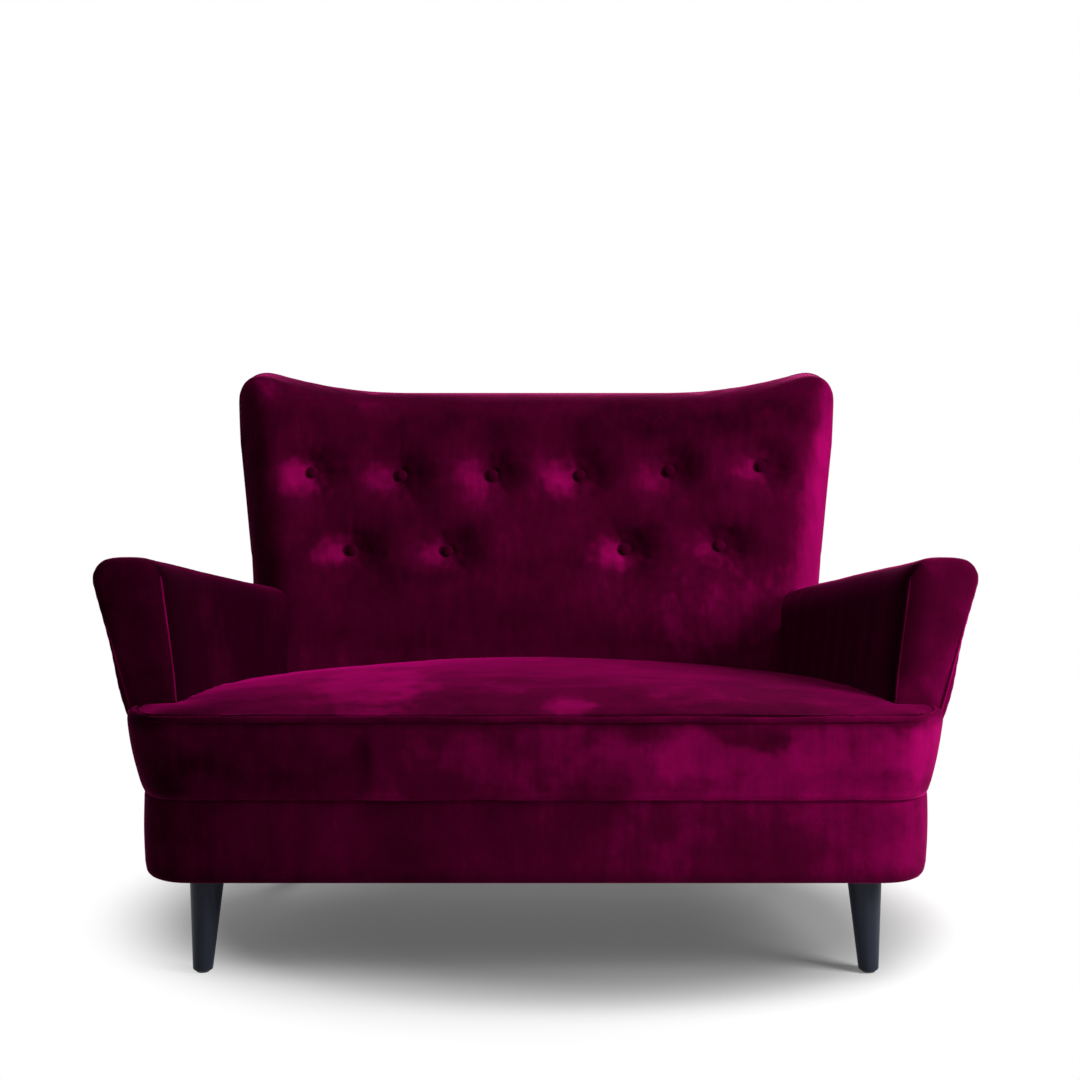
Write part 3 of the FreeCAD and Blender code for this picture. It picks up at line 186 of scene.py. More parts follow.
def softbox(name, place, target, width, height, power):
    """A flat lamp that shines from a place to a target."""
    lamp = bpy.data.lights.new(name, "AREA")
    lamp.shape = "RECTANGLE"
    lamp.size = width
    lamp.size_y = height
    lamp.energy = power
    item = placed(name, lamp)
    item.location = place
    item.rotation_euler = (Vector(target) - Vector(place)).to_track_quat("-Z", "Y").to_euler()


softbox("main_softbox", (1.8, -1.0, 1.2), (0.2, 0.0, 0.5), 0.7, 0.8, 52)
softbox("top_softbox", (0.75, -0.35, 2.6), (0.0, -0.1, 0.4), 1.4, 1.2, 26)
softbox("rear_softbox", (0.7, 2.4, 1.6), (0.0, 0.1, 0.6), 1.6, 1.2, 22)
scene.view_settings.view_transform = "Standard"

# %% [markdown]
# Velvet
#
# Velvet is a dense cut pile. Seen along the pile it is almost black, seen across it is bright, and
# every brush of a hand leaves a patch that leans another way. So the finish has a deep base colour,
# a coloured sheen for the grazing light, cloudy patches of leaning pile, and a fine grain in the bump.
# Each piece also carries a number at every point, its nap, for the patches that its maker brushed and
# for painted light and shade: painted highlights on the parts that face the main lamp on the right and
# painted shade on the parts turned away from it. The tone is also painted lighter towards the right.


# %% The velvet finish
def two_tones(material, low, dark, high, light):
    """A colour ramp from dark, at low, to light, at high."""
    ramp = add_node(material, "ValToRGB")
    for stop, position, colour in zip(ramp.color_ramp.elements, (low, high), (dark, light)):
        stop.position = position
        stop.color = colour
    return ramp


def velvet(name, seed, cloudy, marked, painted_right_light=0.0, bias=0.0, brushed=0.14, grained=0.14):
    """Velvet whose tone runs from crushed and dark to raised and bright, around 0.5 plus bias, painted
    brighter towards +X and with the painted light and shade of each piece's nap.
    """
    material = new_material(name)
    output = add_node(material, "OutputMaterial")
    shader = add_node(material, "BsdfPrincipled", **{
        "Roughness": 0.9, "Specular IOR Level": 0.03, "Specular Tint": (0.9, 0.02, 0.3, 1),
        "Sheen Weight": 0.5, "Sheen Roughness": 0.3, "Sheen Tint": (0.85, 0.004, 0.27, 1)})
    place = add_node(material, "TexCoord")
    shift = add_node(material, "Mapping", Location=(seed, seed * 0.7, -seed * 0.4))
    clouds = add_node(material, "TexNoise", Scale=3.6, Detail=2.0, Roughness=0.5, Distortion=0.2)
    marks = add_node(material, "TexNoise", Scale=14.0, Detail=4.0, Roughness=0.6, Distortion=0.2)
    pile = add_node(material, "TexNoise", Scale=700.0, Detail=2.0, Roughness=0.6)
    along = add_node(material, "Mapping", Scale=(1.0, 1.0, 0.13))
    strokes_and_highlights = add_node(material, "TexNoise", Scale=70.0, Detail=3.0, Roughness=0.6)
    # Brushed pile, and painted light and shade, come in from each piece's nap attribute.
    nap_and_light = add_node(material, "Attribute", attribute_name="nap_and_light")
    painted_light_across = add_node(material, "SeparateXYZ")
    tone = add_node(material, "Math", operation="ADD")
    tone.inputs[1].default_value = 0.5 + bias - 0.5 * (cloudy + marked + brushed + grained)
    wire(material, (nap_and_light, "Fac", tone, 0), (place, "Object", painted_light_across, "Vector"),
         (place, "Object", shift, "Vector"), (shift, "Vector", along, "Vector"),
         (shift, "Vector", clouds, "Vector"), (shift, "Vector", marks, "Vector"),
         (shift, "Vector", pile, "Vector"), (along, "Vector", strokes_and_highlights, "Vector"))
    # The share taken by X is painted light: the tone grows brighter towards +X, the side of the main lamp.
    for source, socket, share in ((clouds, "Fac", cloudy), (marks, "Fac", marked), (strokes_and_highlights, "Fac", brushed),
                                  (pile, "Fac", grained), (painted_light_across, "X", painted_right_light)):
        step = add_node(material, "Math", operation="MULTIPLY_ADD")
        step.inputs[1].default_value = share
        wire(material, (source, socket, step, 0), (tone, "Value", step, 2))
        tone = step
    ramp = two_tones(material, 0.32, (0.010, 0.0, 0.003, 1), 0.72, (0.22, 0.0008, 0.066, 1))
    middle = ramp.color_ramp.elements.new(0.52)
    middle.color = (0.060, 0.0003, 0.0165, 1)
    bump = add_node(material, "Bump", Strength=0.25, Distance=0.0006)
    dents = add_node(material, "Bump", Strength=0.3, Distance=0.005)
    wire(material, (tone, "Value", ramp, "Fac"), (ramp, "Color", shader, "Base Color"),
         (pile, "Fac", bump, "Height"), (marks, "Fac", dents, "Height"), (dents, "Normal", bump, "Normal"),
         (bump, "Normal", shader, "Normal"), (shader, "BSDF", output, "Surface"))
    return material


velvets = {
    "seat": velvet("velvet_seat", 0.0, 0.3, 0.32, painted_right_light=0.04, brushed=0.08, bias=-0.02),
    "back": velvet("velvet_back", 3.1, 0.2, 0.24, painted_right_light=0.02, bias=-0.015),
    "arm": velvet("velvet_arm", 5.7, 0.22, 0.24, painted_right_light=0.05, brushed=0.05),
    "border": velvet("velvet_border", 8.3, 0.28, 0.3, painted_right_light=0.18, brushed=0.10, bias=0.015),
    "base": velvet("velvet_base", 11.9, 0.26, 0.26, painted_right_light=0.15, brushed=0.09, bias=-0.01),
    "trim": velvet("velvet_trim", 14.2, 0.3, 0.3, painted_right_light=0.06, brushed=0.0),
    "button": velvet("velvet_button", 17.3, 0.2, 0.3, brushed=0.0, bias=-0.07),
}
print("velvet finishes:", ", ".join(velvets))

# %% [markdown]
# Timber, lacquer, steel and cloth
#
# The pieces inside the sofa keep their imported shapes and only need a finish. Beech has long grain in
# one direction, the legs have a blue-black satin lacquer under a thin clear coat, and the cloths and
# metals are two close tones with a fine roughness.


# %% Finishes for the hard pieces and the hidden cloths
def plain_finish(name, dark, light, scale, roughness, metallic=0.0, stretch=(1, 1, 1), coat=0.0,
                 bump_depth=0.0003, shine=0.4):
    """A finish of two close tones in a noise that may be stretched along one axis."""
    material = new_material(name)
    output = add_node(material, "OutputMaterial")
    shader = add_node(material, "BsdfPrincipled", **{
        "Roughness": roughness, "Metallic": metallic, "Specular IOR Level": shine, "Coat Weight": coat,
        "Coat Roughness": 0.22})
    place = add_node(material, "TexCoord")
    shift = add_node(material, "Mapping", Scale=stretch)
    texture = add_node(material, "TexNoise", Scale=scale, Detail=5.0, Roughness=0.6, Distortion=0.4)
    ramp = two_tones(material, 0.3, (*dark, 1), 0.7, (*light, 1))
    bump = add_node(material, "Bump", Strength=0.4, Distance=bump_depth)
    wire(material, (place, "Object", shift, "Vector"), (shift, "Vector", texture, "Vector"),
         (texture, "Fac", ramp, "Fac"), (texture, "Fac", bump, "Height"),
         (ramp, "Color", shader, "Base Color"), (bump, "Normal", shader, "Normal"),
         (shader, "BSDF", output, "Surface"))
    return material


own_names = {"hardwood": "beech", "hardboard": "brown_board", "foam": "open_foam", "wadding": "white_wadding"}
finishes = {"velvet": velvets["trim"]}
for slot, dark, light, scale, roughness, rest in (
        ("hardwood", (0.5, 0.33, 0.19), (0.62, 0.45, 0.28), 26, 0.6, {"stretch": (1, 1, 0.12)}),
        ("hardboard", (0.2, 0.12, 0.07), (0.27, 0.17, 0.1), 220, 0.75, {}),
        ("leg_lacquer", (0.010, 0.012, 0.021), (0.020, 0.025, 0.040), 40, 0.45,
         {"stretch": (1, 1, 0.08), "coat": 0.06, "bump_depth": 0.0002, "shine": 0.1}),
        ("glide_plastic", (0.02, 0.02, 0.02), (0.035, 0.035, 0.035), 300, 0.5, {}),
        ("toggle_plastic", (0.6, 0.57, 0.5), (0.66, 0.63, 0.56), 300, 0.45, {}),
        ("zinc_steel", (0.5, 0.51, 0.53), (0.66, 0.67, 0.69), 60, 0.34, {"metallic": 1.0}),
        ("spring_steel", (0.12, 0.12, 0.13), (0.22, 0.21, 0.2), 90, 0.4, {"metallic": 1.0}),
        ("foam", (0.72, 0.66, 0.46), (0.8, 0.75, 0.56), 500, 0.95, {"bump_depth": 0.001}),
        ("wadding", (0.74, 0.74, 0.72), (0.86, 0.86, 0.84), 60, 0.95, {"bump_depth": 0.002}),
        ("dust_cloth", (0.012, 0.012, 0.012), (0.03, 0.03, 0.03), 700, 0.9, {}),
        ("hessian", (0.3, 0.21, 0.12), (0.44, 0.33, 0.2), 400, 0.9, {}),
        ("webbing", (0.2, 0.16, 0.11), (0.3, 0.26, 0.2), 300, 0.85, {}),
        ("twine", (0.5, 0.46, 0.38), (0.6, 0.56, 0.48), 500, 0.8, {})):
    finishes[slot] = plain_finish(own_names.get(slot, slot), dark, light, scale, roughness, **rest)
for entry in frame["record"]["subparts"]:
    node = frame["nodes"][entry["node"]]
    finish = finishes[entry["material_slot"]]
    if not node.material_slots:
        node.data.materials.append(finish)
    for slot in node.material_slots:
        slot.material = finish
print("finishes on", len(frame["nodes"]), "packed nodes")

# %% [markdown]
# Sizes that the soft pieces share
#
# The plan of the sofa is a trapezium: it is wider in front than at the rear. Every band and pad
# follows that plan, so it is written down once, in the same sizes as the solids.

# %% The plan of the base
FRONT_Y = -0.385
REAR_Y = 0.280
FRONT_HALF = 0.620
REAR_HALF = 0.505
BASE_LOW = 0.157
BASE_TOP = 0.290
SEAT_LEVEL = 0.415
SEAT_OVERHANG = 0.008
SEAT_FLARE = 0.024
FRONT_CORNER = 0.075
REAR_CORNER = 0.030
CLOTH = 0.0025
SIDE_SLOPE = (FRONT_HALF - REAR_HALF) / (REAR_Y - FRONT_Y)


def half_width(y):
    """Half the width of the base at a Y."""
    return FRONT_HALF - SIDE_SLOPE * (y - FRONT_Y)


def rounded_path(corners, radii, step, closed):
    """Stations along a path with rounded corners: place, outward direction and distance run."""
    pieces = []
    count = len(corners)
    for index, corner in enumerate(corners):
        ends = not closed and index in (0, count - 1)
        if ends or radii[index] == 0:
            pieces.append([corner])
            continue
        before = (corners[index - 1] - corner).normalized()
        after = (corners[(index + 1) % count] - corner).normalized()
        half = before.angle(after) / 2
        centre = corner + (before + after).normalized() * (radii[index] / math.sin(half))
        start = corner + before * (radii[index] / math.tan(half)) - centre
        sweep = math.pi - 2 * half
        if before.x * after.y - before.y * after.x > 0:
            sweep = -sweep
        turns = max(3, int(radii[index] * abs(sweep) / step))
        pieces.append([centre + Matrix.Rotation(sweep * turn / turns, 2) @ start
                       for turn in range(turns + 1)])
    points = []
    for index, piece in enumerate(pieces):
        points += piece
        if closed or index < count - 1:
            following = pieces[(index + 1) % count][0]
            gap = following - piece[-1]
            steps = max(1, int(gap.length / step))
            points += [piece[-1] + gap * share / steps for share in range(1, steps)]
    stations = []
    run = 0.0
    for index, point in enumerate(points):
        ahead = points[(index + 1) % len(points)] if closed or index < len(points) - 1 else point
        behind = points[index - 1] if closed or index else point
        along = (ahead - behind).normalized()
        stations.append((point, Vector((along.y, -along.x)), run))
        run += (ahead - point).length
    return stations


base_corners = [Vector((-FRONT_HALF, FRONT_Y)), Vector((FRONT_HALF, FRONT_Y)),
                Vector((REAR_HALF, REAR_Y)), Vector((-REAR_HALF, REAR_Y))]
base_radii = [FRONT_CORNER, FRONT_CORNER, REAR_CORNER, REAR_CORNER]
base_stations = rounded_path(base_corners, base_radii, 0.012, True)
print("base plan:", len(base_stations), "stations round", round(base_stations[-1][2], 3), "m")


# %% Helpers that make and finish a piece
def as_piece(name, mesh, material):
    """Turns a bmesh into a piece of the sofa with its finish."""
    data = bpy.data.meshes.new(name)
    mesh.to_mesh(data)
    mesh.free()
    return mesh_piece(name, data, material)


def dress(data, material):
    """Gives a mesh one finish and soft shading."""
    data.materials.clear()
    data.materials.append(material)
    data.polygons.foreach_set("use_smooth", [True] * len(data.polygons))


def mesh_piece(name, data, material):
    """Makes a piece of the sofa from a mesh that is in its place, unturned and unscaled."""
    piece = placed(name, data)
    dress(data, material)
    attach(piece, "root")
    return piece


def finish_modifiers(piece):
    """Applies the piece's modifiers, so that its shape is in its mesh, and gives the piece back."""
    bpy.context.view_layer.update()
    evaluated = piece.evaluated_get(bpy.context.evaluated_depsgraph_get())
    data = bpy.data.meshes.new_from_object(evaluated)
    piece.modifiers.clear()
    old = piece.data
    piece.data = data
    bpy.data.meshes.remove(old)
    data.polygons.foreach_set("use_smooth", [True] * len(data.polygons))
    return piece


# %% Helpers for points, soft noise and the brushed pile
def positions(piece):
    """A piece's points, one row each."""
    points = np.empty(len(piece.data.vertices) * 3)
    piece.data.vertices.foreach_get("co", points)
    return points.reshape(-1, 3)


def surface_of(piece):
    """A piece's points and the directions that its surface faces there."""
    found = np.empty(len(piece.data.vertices) * 3)
    piece.data.vertices.foreach_get("normal", found)
    return positions(piece), found.reshape(-1, 3)


def set_positions(piece, points):
    """Moves a piece's points to new places."""
    piece.data.vertices.foreach_set("co", points.reshape(-1))
    piece.data.update()


def soft_noise(points, scale, seed=0.0):
    """A smooth random number from -1 to 1 at each point."""
    moved = Vector((seed, -seed, seed * 0.5))
    return np.array([noise.noise(Vector(point) * scale + moved) for point in points])


def smooth_step(value, low, high):
    """0 up to low, 1 from high on, and an even curve between them."""
    share = np.clip((value - low) / (high - low), 0, 1)
    return share * share * (3 - 2 * share)


def grooved(distance, width):
    """1 on a seam's line, falling smoothly to 0 beside it."""
    return np.exp(-(distance / width) ** 2)


def paint_nap_and_light(piece, values):
    """Stores the nap at every point, from dark below 0 to bright above 0: brushed pile, and painted light and
    shade.
    """
    nap_and_light = piece.data.attributes.new("nap_and_light", "FLOAT", "POINT")
    nap_and_light.data.foreach_set("value", np.asarray(values, dtype=float))


def patch(points, centre, reach, seed):
    """A soft-edged patch round a centre, 1 in its middle, with an uneven rim."""
    apart = np.linalg.norm((points - np.array(centre)) / np.array(reach), axis=1)
    apart = apart + soft_noise(points, 22.0, seed) * 0.35 + soft_noise(points, 60.0, seed + 1) * 0.25
    return 1 - smooth_step(apart, 0.55, 1.15)


def patches(points, rows):
    """Adds up soft patches, each given as its strength, centre, reach and seed."""
    total = np.zeros(len(points))
    for strength, centre, reach, seed in rows:
        total += strength * patch(points, centre, reach, seed)
    return total


# %% Helpers for a band of cloth
def swept_band(name, stations, profile_at, closed, material):
    """Extrudes an upright row of edges from station to station. profile_at gives (out, height) pairs."""
    mesh = bmesh.new()
    point, outward, _ = stations[0]
    rows = [mesh.verts.new((point.x + outward.x * out, point.y + outward.y * out, height))
            for out, height in profile_at(stations[0])]
    edges = [mesh.edges.new(pair) for pair in zip(rows, rows[1:])]
    for station in stations[1:] + (stations[:1] if closed else []):
        made = bmesh.ops.extrude_edge_only(mesh, edges=edges)["geom"]
        edges = [item for item in made if isinstance(item, bmesh.types.BMEdge)
                 and all(vertex in made for vertex in item.verts)]
        fresh = [item for item in made if isinstance(item, bmesh.types.BMVert)]
        point, outward, _ = station
        order = {old: index for index, old in enumerate(rows)}
        following = [None] * len(rows)
        for vertex in fresh:
            for edge in vertex.link_edges:
                other = edge.other_vert(vertex)
                if other in order:
                    following[order[other]] = vertex
        for vertex, (out, height) in zip(following, profile_at(station)):
            vertex.co = (point.x + outward.x * out, point.y + outward.y * out, height)
        rows = following
        edges = [edge for edge in edges if edge.verts[0] in rows and edge.verts[1] in rows]
    if closed:
        bmesh.ops.remove_doubles(mesh, verts=mesh.verts[:], dist=0.0005)
    bmesh.ops.recalc_face_normals(mesh, faces=mesh.faces[:])
    return as_piece(name, mesh, material)


def thicken(piece):
    """Gives a band its cloth's thickness, inwards."""
    wall = piece.modifiers.new("wall", "SOLIDIFY")
    wall.thickness = CLOTH
    wall.offset = -1
    finish_modifiers(piece)


# %% [markdown]
# The base cover
#
# The base is a low box of rails, wadded and covered. Its cover is pulled down over the rails and turned
# under a rounded lower edge. It is a band extruded round the plan from one upright row of points. A flat
# box with a bevel would look like a tin, so the row has a faint belly and the cloth puckers a little
# along the upper seam. There its hem turns in, under the border, the arms and the back.


# %% Extrude the base cover round the plan
HEM_RISE = 0.0034


def base_profile(station):
    """The base cover's outline from its turned-under lower edge to its hem, alike at every station."""
    height = BASE_TOP - BASE_LOW
    edge = 0.015
    row = [(-0.030, BASE_LOW), (-0.022, BASE_LOW)]
    for turn in range(6):
        angle = math.pi / 2 * turn / 5
        row.append((-edge + edge * math.sin(angle), BASE_LOW + edge - edge * math.cos(angle)))
    for share in np.linspace(0.16, 0.97, 15):
        belly = 0.0022 * math.sin(math.pi * share)
        row.append((belly, BASE_LOW + height * share))
    return row + [(-0.0008, BASE_TOP - 0.0012), (-0.0025, BASE_TOP + 0.0020),
                  (-0.0045, BASE_TOP + HEM_RISE), (-0.034, BASE_TOP + HEM_RISE)]


base_cover = swept_band("base_cover", base_stations, base_profile, True, velvets["base"])
points, out = surface_of(base_cover)
near_seam = grooved(points[:, 2] - BASE_TOP, 0.018)
puckers = soft_noise(points * [1, 1, 0.35], 42.0, 3.0) * 0.0009 * near_seam
waves = soft_noise(points, 9.0) * 0.0012 + puckers
waves *= (points[:, 2] > BASE_LOW + 0.004) * smooth_step(BASE_TOP - points[:, 2], 0.0012, 0.006)
set_positions(base_cover, points + out * waves[:, None])
thicken(base_cover)
points = positions(base_cover)
# The nap here: a painted highlight along the upper seam, darker towards the lower edge, painted shade on the
# left end, and random tone.
paint_nap_and_light(base_cover, 0.05 * grooved(points[:, 2] - BASE_TOP, 0.006)
          - 0.06 * (1 - smooth_step(points[:, 2], BASE_LOW, BASE_LOW + 0.03))
          - 0.06 * smooth_step(-points[:, 0], 0.38, 0.55)
          + 0.03 * soft_noise(points * [1, 1, 0.2], 40.0, 17.0))
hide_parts("rail_cover_front", "rail_cover_rear", "rail_cover_left", "rail_cover_right")
print("base cover:", len(base_cover.data.polygons), "faces")

# %% [markdown]
# The seat border
#
# Between the base and the seat's welt runs a deep border. It follows the front and the two T-shaped
# ends of the seat, overhangs the base a little and flares outwards towards the top. At the ends its top
# turns in to the seat, which is drawn in there. One upright seam crosses it, left of the middle.

# %% Extrude the border round the front of the seat
T_END_Y = FRONT_Y + 0.088
BORDER_SEAM_X = -0.262
END_DRAW = 0.013
border_corners = [Vector((-half_width(T_END_Y), T_END_Y)), Vector((-FRONT_HALF, FRONT_Y)),
                  Vector((FRONT_HALF, FRONT_Y)), Vector((half_width(T_END_Y), T_END_Y))]
border_stations = rounded_path(border_corners, [0, FRONT_CORNER, FRONT_CORNER, 0], 0.011, False)


def border_profile(station):
    """The border's outline at a station, which flares only at the sofa's sides."""
    point, outward, _ = station
    front = max(0.0, -outward.y)
    side = abs(outward.x) * abs(point.x) / FRONT_HALF
    row = []
    for share in np.linspace(0.0, 1.0, 15):
        flare = SEAT_FLARE * share * side + SEAT_OVERHANG * front
        belly = 0.0035 * math.sin(math.pi * share)
        belly -= 0.002 * grooved(share, 0.06)
        belly -= 0.002 * grooved(1 - share, 0.05)
        row.append((flare + belly, BASE_TOP + 0.0005 + (SEAT_LEVEL - BASE_TOP - 0.001) * share))
    return row + [(flare - 0.004, SEAT_LEVEL + 0.0015), (flare - 0.005 - 0.012 * side, SEAT_LEVEL + 0.002)]


def drawn_in(points):
    """Draws the T-ends of the seat in from the border, by up to END_DRAW."""
    points[:, 0] -= np.sign(points[:, 0]) * END_DRAW * smooth_step(np.abs(points[:, 0]), 0.55, 0.625)
    return points


seat_border = swept_band("seat_border", border_stations, border_profile, False, velvets["border"])
points, out = surface_of(seat_border)
near_seam = grooved(points[:, 2] - BASE_TOP, 0.02) + grooved(points[:, 2] - SEAT_LEVEL, 0.02)
puckers = soft_noise(points * [1, 1, 0.3], 38.0, 7.0) * 0.0011 * near_seam
waves = soft_noise(points, 8.0, 5.0) * 0.0018 + puckers
waves -= grooved(points[:, 0] - BORDER_SEAM_X, 0.006) * 0.0022
set_positions(seat_border, points + out * waves[:, None])
thicken(seat_border)
points = positions(seat_border)
# The nap holds patches of brushed pile, darker along the upright seam, and random tone, with painted light: a
# painted highlight just above the lower seam and painted shadow under the seat's cord.
brushed = patches(points, ((-0.10, (0.336, -0.39, 0.385), (0.050, 0.05, 0.020), 2.0),
                           (-0.08, (0.362, -0.39, 0.374), (0.026, 0.05, 0.016), 4.0),
                           (0.10, (0.585, -0.37, 0.36), (0.07, 0.08, 0.05), 5.0),
                           (0.10, (0.235, -0.39, 0.355), (0.08, 0.05, 0.04), 9.0),
                           (0.04, (0.0, -0.39, 0.355), (0.22, 0.05, 0.06), 12.0),
                           (-0.07, (BORDER_SEAM_X, -0.39, 0.35), (0.016, 0.05, 0.05), 6.0)))
paint_nap_and_light(seat_border, brushed + 0.06 * grooved(points[:, 2] - BASE_TOP - 0.004, 0.007)
          - 0.08 * smooth_step(points[:, 2], SEAT_LEVEL - 0.016, SEAT_LEVEL - 0.004)
          + 0.03 * soft_noise(points * [1, 1, 0.2], 40.0, 19.0))
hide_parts("seat_border_cover")
print("seat border:", len(seat_border.data.polygons), "faces")

# %% [markdown]
# Pads from simulated cloth
#
# A tight upholstered pad is cloth under pressure from its filling. Each pad starts as a copy of its
# solids, remeshed to an even net, and Blender's cloth blows it up from inside for twenty frames while
# its hidden sides are held. No point may move further than a set cap, so the pad keeps its true size.


# %% Helpers for the simulated pads
CLOTH_FRAMES = 20


def copied_solids(*nodes):
    """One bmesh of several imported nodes, with the points that meet merged."""
    mesh = bmesh.new()
    for node in nodes:
        mesh.from_mesh(frame["nodes"][node].data)
    bmesh.ops.remove_doubles(mesh, verts=mesh.verts[:], dist=0.00001)
    return mesh


def loose_shells(mesh):
    """The points of each loose part of a mesh."""
    unseen = set(mesh.verts)
    shells = []
    while unseen:
        shell = [unseen.pop()]
        queue = list(shell)
        while queue:
            for edge in queue.pop().link_edges:
                for vertex in edge.verts:
                    if vertex in unseen:
                        unseen.remove(vertex)
                        shell.append(vertex)
                        queue.append(vertex)
        shells.append(shell)
    return shells


def remeshed_piece(name, mesh, voxel, material, smoothing=2):
    """A piece with an even net of voxels, without the walls of hidden hollows."""
    piece = as_piece(name, mesh, material)
    net = piece.modifiers.new("net", "REMESH")
    net.mode = "VOXEL"
    net.voxel_size = voxel
    finish_modifiers(piece)
    even = bmesh.new()
    even.from_mesh(piece.data)
    hidden = sorted(loose_shells(even), key=len)[:-1]
    bmesh.ops.delete(even, geom=[vertex for shell in hidden for vertex in shell], context="VERTS")
    for _ in range(smoothing):
        bmesh.ops.smooth_vert(even, verts=even.verts[:], factor=0.5,
                              use_axis_x=True, use_axis_y=True, use_axis_z=True)
    even.to_mesh(piece.data)
    even.free()
    dress(piece.data, material)
    return piece


def blow_up(piece, free, cap):
    """Blows up the free part of a pad as cloth. free is 1 where a point may move and 0 where it is held."""
    start = positions(piece)
    held = piece.vertex_groups.new(name="held")
    for level in range(11):
        members = np.nonzero(np.round((1 - free) * 10) == level)[0]
        if level and len(members):
            held.add(members.tolist(), level / 10, "REPLACE")
    cloth = piece.modifiers.new("cloth", "CLOTH")
    for setting, value in (("quality", 4), ("mass", 0.3), ("tension_stiffness", 12),
                           ("compression_stiffness", 12), ("shear_stiffness", 4), ("bending_stiffness", 0.6),
                           ("use_pressure", True), ("uniform_pressure_force", 3.0),
                           ("vertex_group_mass", "held")):
        setattr(cloth.settings, setting, value)
    cloth.settings.effector_weights.gravity = 0
    cloth.point_cache.frame_start = 1
    cloth.point_cache.frame_end = CLOTH_FRAMES
    for step in range(1, CLOTH_FRAMES + 1):
        scene.frame_set(step)
    evaluated = piece.evaluated_get(bpy.context.evaluated_depsgraph_get())
    moved = np.empty(len(start) * 3)
    evaluated.data.vertices.foreach_get("co", moved)
    travel = moved.reshape(-1, 3) - start
    length = np.linalg.norm(travel, axis=1)
    print(piece.name, "moved at most", round(float(length.max()) * 1000, 1), "mm, on average",
          round(float(length.mean()) * 1000, 1), "mm")
    travel *= (np.minimum(length, cap) / np.maximum(length, 1e-9))[:, None]
    piece.modifiers.clear()
    piece.vertex_groups.clear()
    scene.frame_set(1)
    set_positions(piece, start + travel)


def subdivided(piece):
    """Gives a piece four times as many faces, rounded off, and gives it back."""
    finer = piece.modifiers.new("finer", "SUBSURF")
    finer.levels = 1
    finer.render_levels = 1
    return finish_modifiers(piece)


# %% [markdown]
# The seat
#
# The seat is one crowned pad, T-shaped, between the arms and the back. Its sides stay where the
# border, the arms and the back hold it, and only its top is free to swell.

# %% Blow up the seat pad
seat_pad = remeshed_piece("seat_pad", copied_solids("seat_cover", "seat_foam"), 0.008, velvets["seat"])
points, out = surface_of(seat_pad)
free = smooth_step(out[:, 2], 0.5, 0.9) * smooth_step(points[:, 2], 0.40, 0.43)
set_positions(seat_pad, points - out * (0.004 * free)[:, None])
blow_up(seat_pad, free, 0.007)
subdivided(seat_pad)
points, out = surface_of(seat_pad)
top = smooth_step(out[:, 2], 0.3, 0.8)
waves = soft_noise(points, 5.0, 1.0) * 0.003 + soft_noise(points, 16.0, 2.0) * 0.0008
set_positions(seat_pad, drawn_in(points + out * (waves * top)[:, None]))
points = positions(seat_pad)
brushed = patches(points, ((0.10, (-0.265, -0.26, 0.44), (0.13, 0.19, 0.1), 1.0),
                           (0.13, (-0.265, -0.24, 0.44), (0.09, 0.13, 0.1), 3.0),
                           (0.14, (0.06, -0.36, 0.43), (0.05, 0.035, 0.05), 4.0),
                           (0.08, (0.25, -0.30, 0.44), (0.09, 0.08, 0.1), 8.0)))
# The nap holds patches of brushed pile and random tone, with painted shade on the left end, and it is darker
# towards the right.
paint_nap_and_light(seat_pad, brushed - 0.16 * smooth_step(-points[:, 0], 0.36, 0.52)
          - 0.07 * smooth_step(points[:, 0], 0.12, 0.45)
          + 0.06 * soft_noise(points * [0.35, 1, 1], 30.0, 9.0))
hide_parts("seat_cover", "seat_foam")
print("seat pad:", len(seat_pad.data.polygons), "faces")

# %% [markdown]
# The back
#
# The back is a winged pad on a timber frame. Ten covered buttons are drawn through it, and the velvet
# dips to each of them in a soft funnel, with short folds that run from button to button. Its front
# edges roll back to the wings and the crest, and its foot stands crisp on the base. A painted highlight
# lies on the left of each button and painted shade on its right, a painted highlight runs along the
# crest and the right wing, which face the main lamp, and painted shade lies on the left wing.

# %% Find the buttons
def centres_of(node):
    """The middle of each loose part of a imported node, from left to right."""
    mesh = copied_solids(node)
    found = []
    for shell in loose_shells(mesh):
        low = Vector([min(vertex.co[axis] for vertex in shell) for axis in range(3)])
        high = Vector([max(vertex.co[axis] for vertex in shell) for axis in range(3)])
        found.append((low + high) / 2)
    mesh.free()
    return sorted(found, key=lambda centre: centre.x)


upper_buttons = centres_of("back_buttons_upper")
lower_buttons = centres_of("back_buttons_lower")
print("buttons:", len(upper_buttons), "and", len(lower_buttons))

# %% Blow up the back pad
BACK_RISE = 0.630
BACK_OVERHANG = 0.117
CREST_DIP = 0.040
BACK_THICK_LOW = 0.135
BACK_THICK_TOP = 0.118
SEAT_DEPTH = 0.530
SEAT_RISE = 0.125
WING_HALF = 0.571
WING_HOLLOW = 0.025
REAR_RAKE = math.atan2(BACK_OVERHANG, BACK_RISE)
FOOT_ZONE = 0.020
FOOT_SNAP = 0.007
FOOT_LIFT = 0.006


def behind_rear(points):
    """How far each point lies behind the back's leaning rear side, below 0 in front of it."""
    across = (points[:, 1] - REAR_Y) * math.cos(REAR_RAKE)
    return across - (points[:, 2] - BASE_TOP) * math.sin(REAR_RAKE)


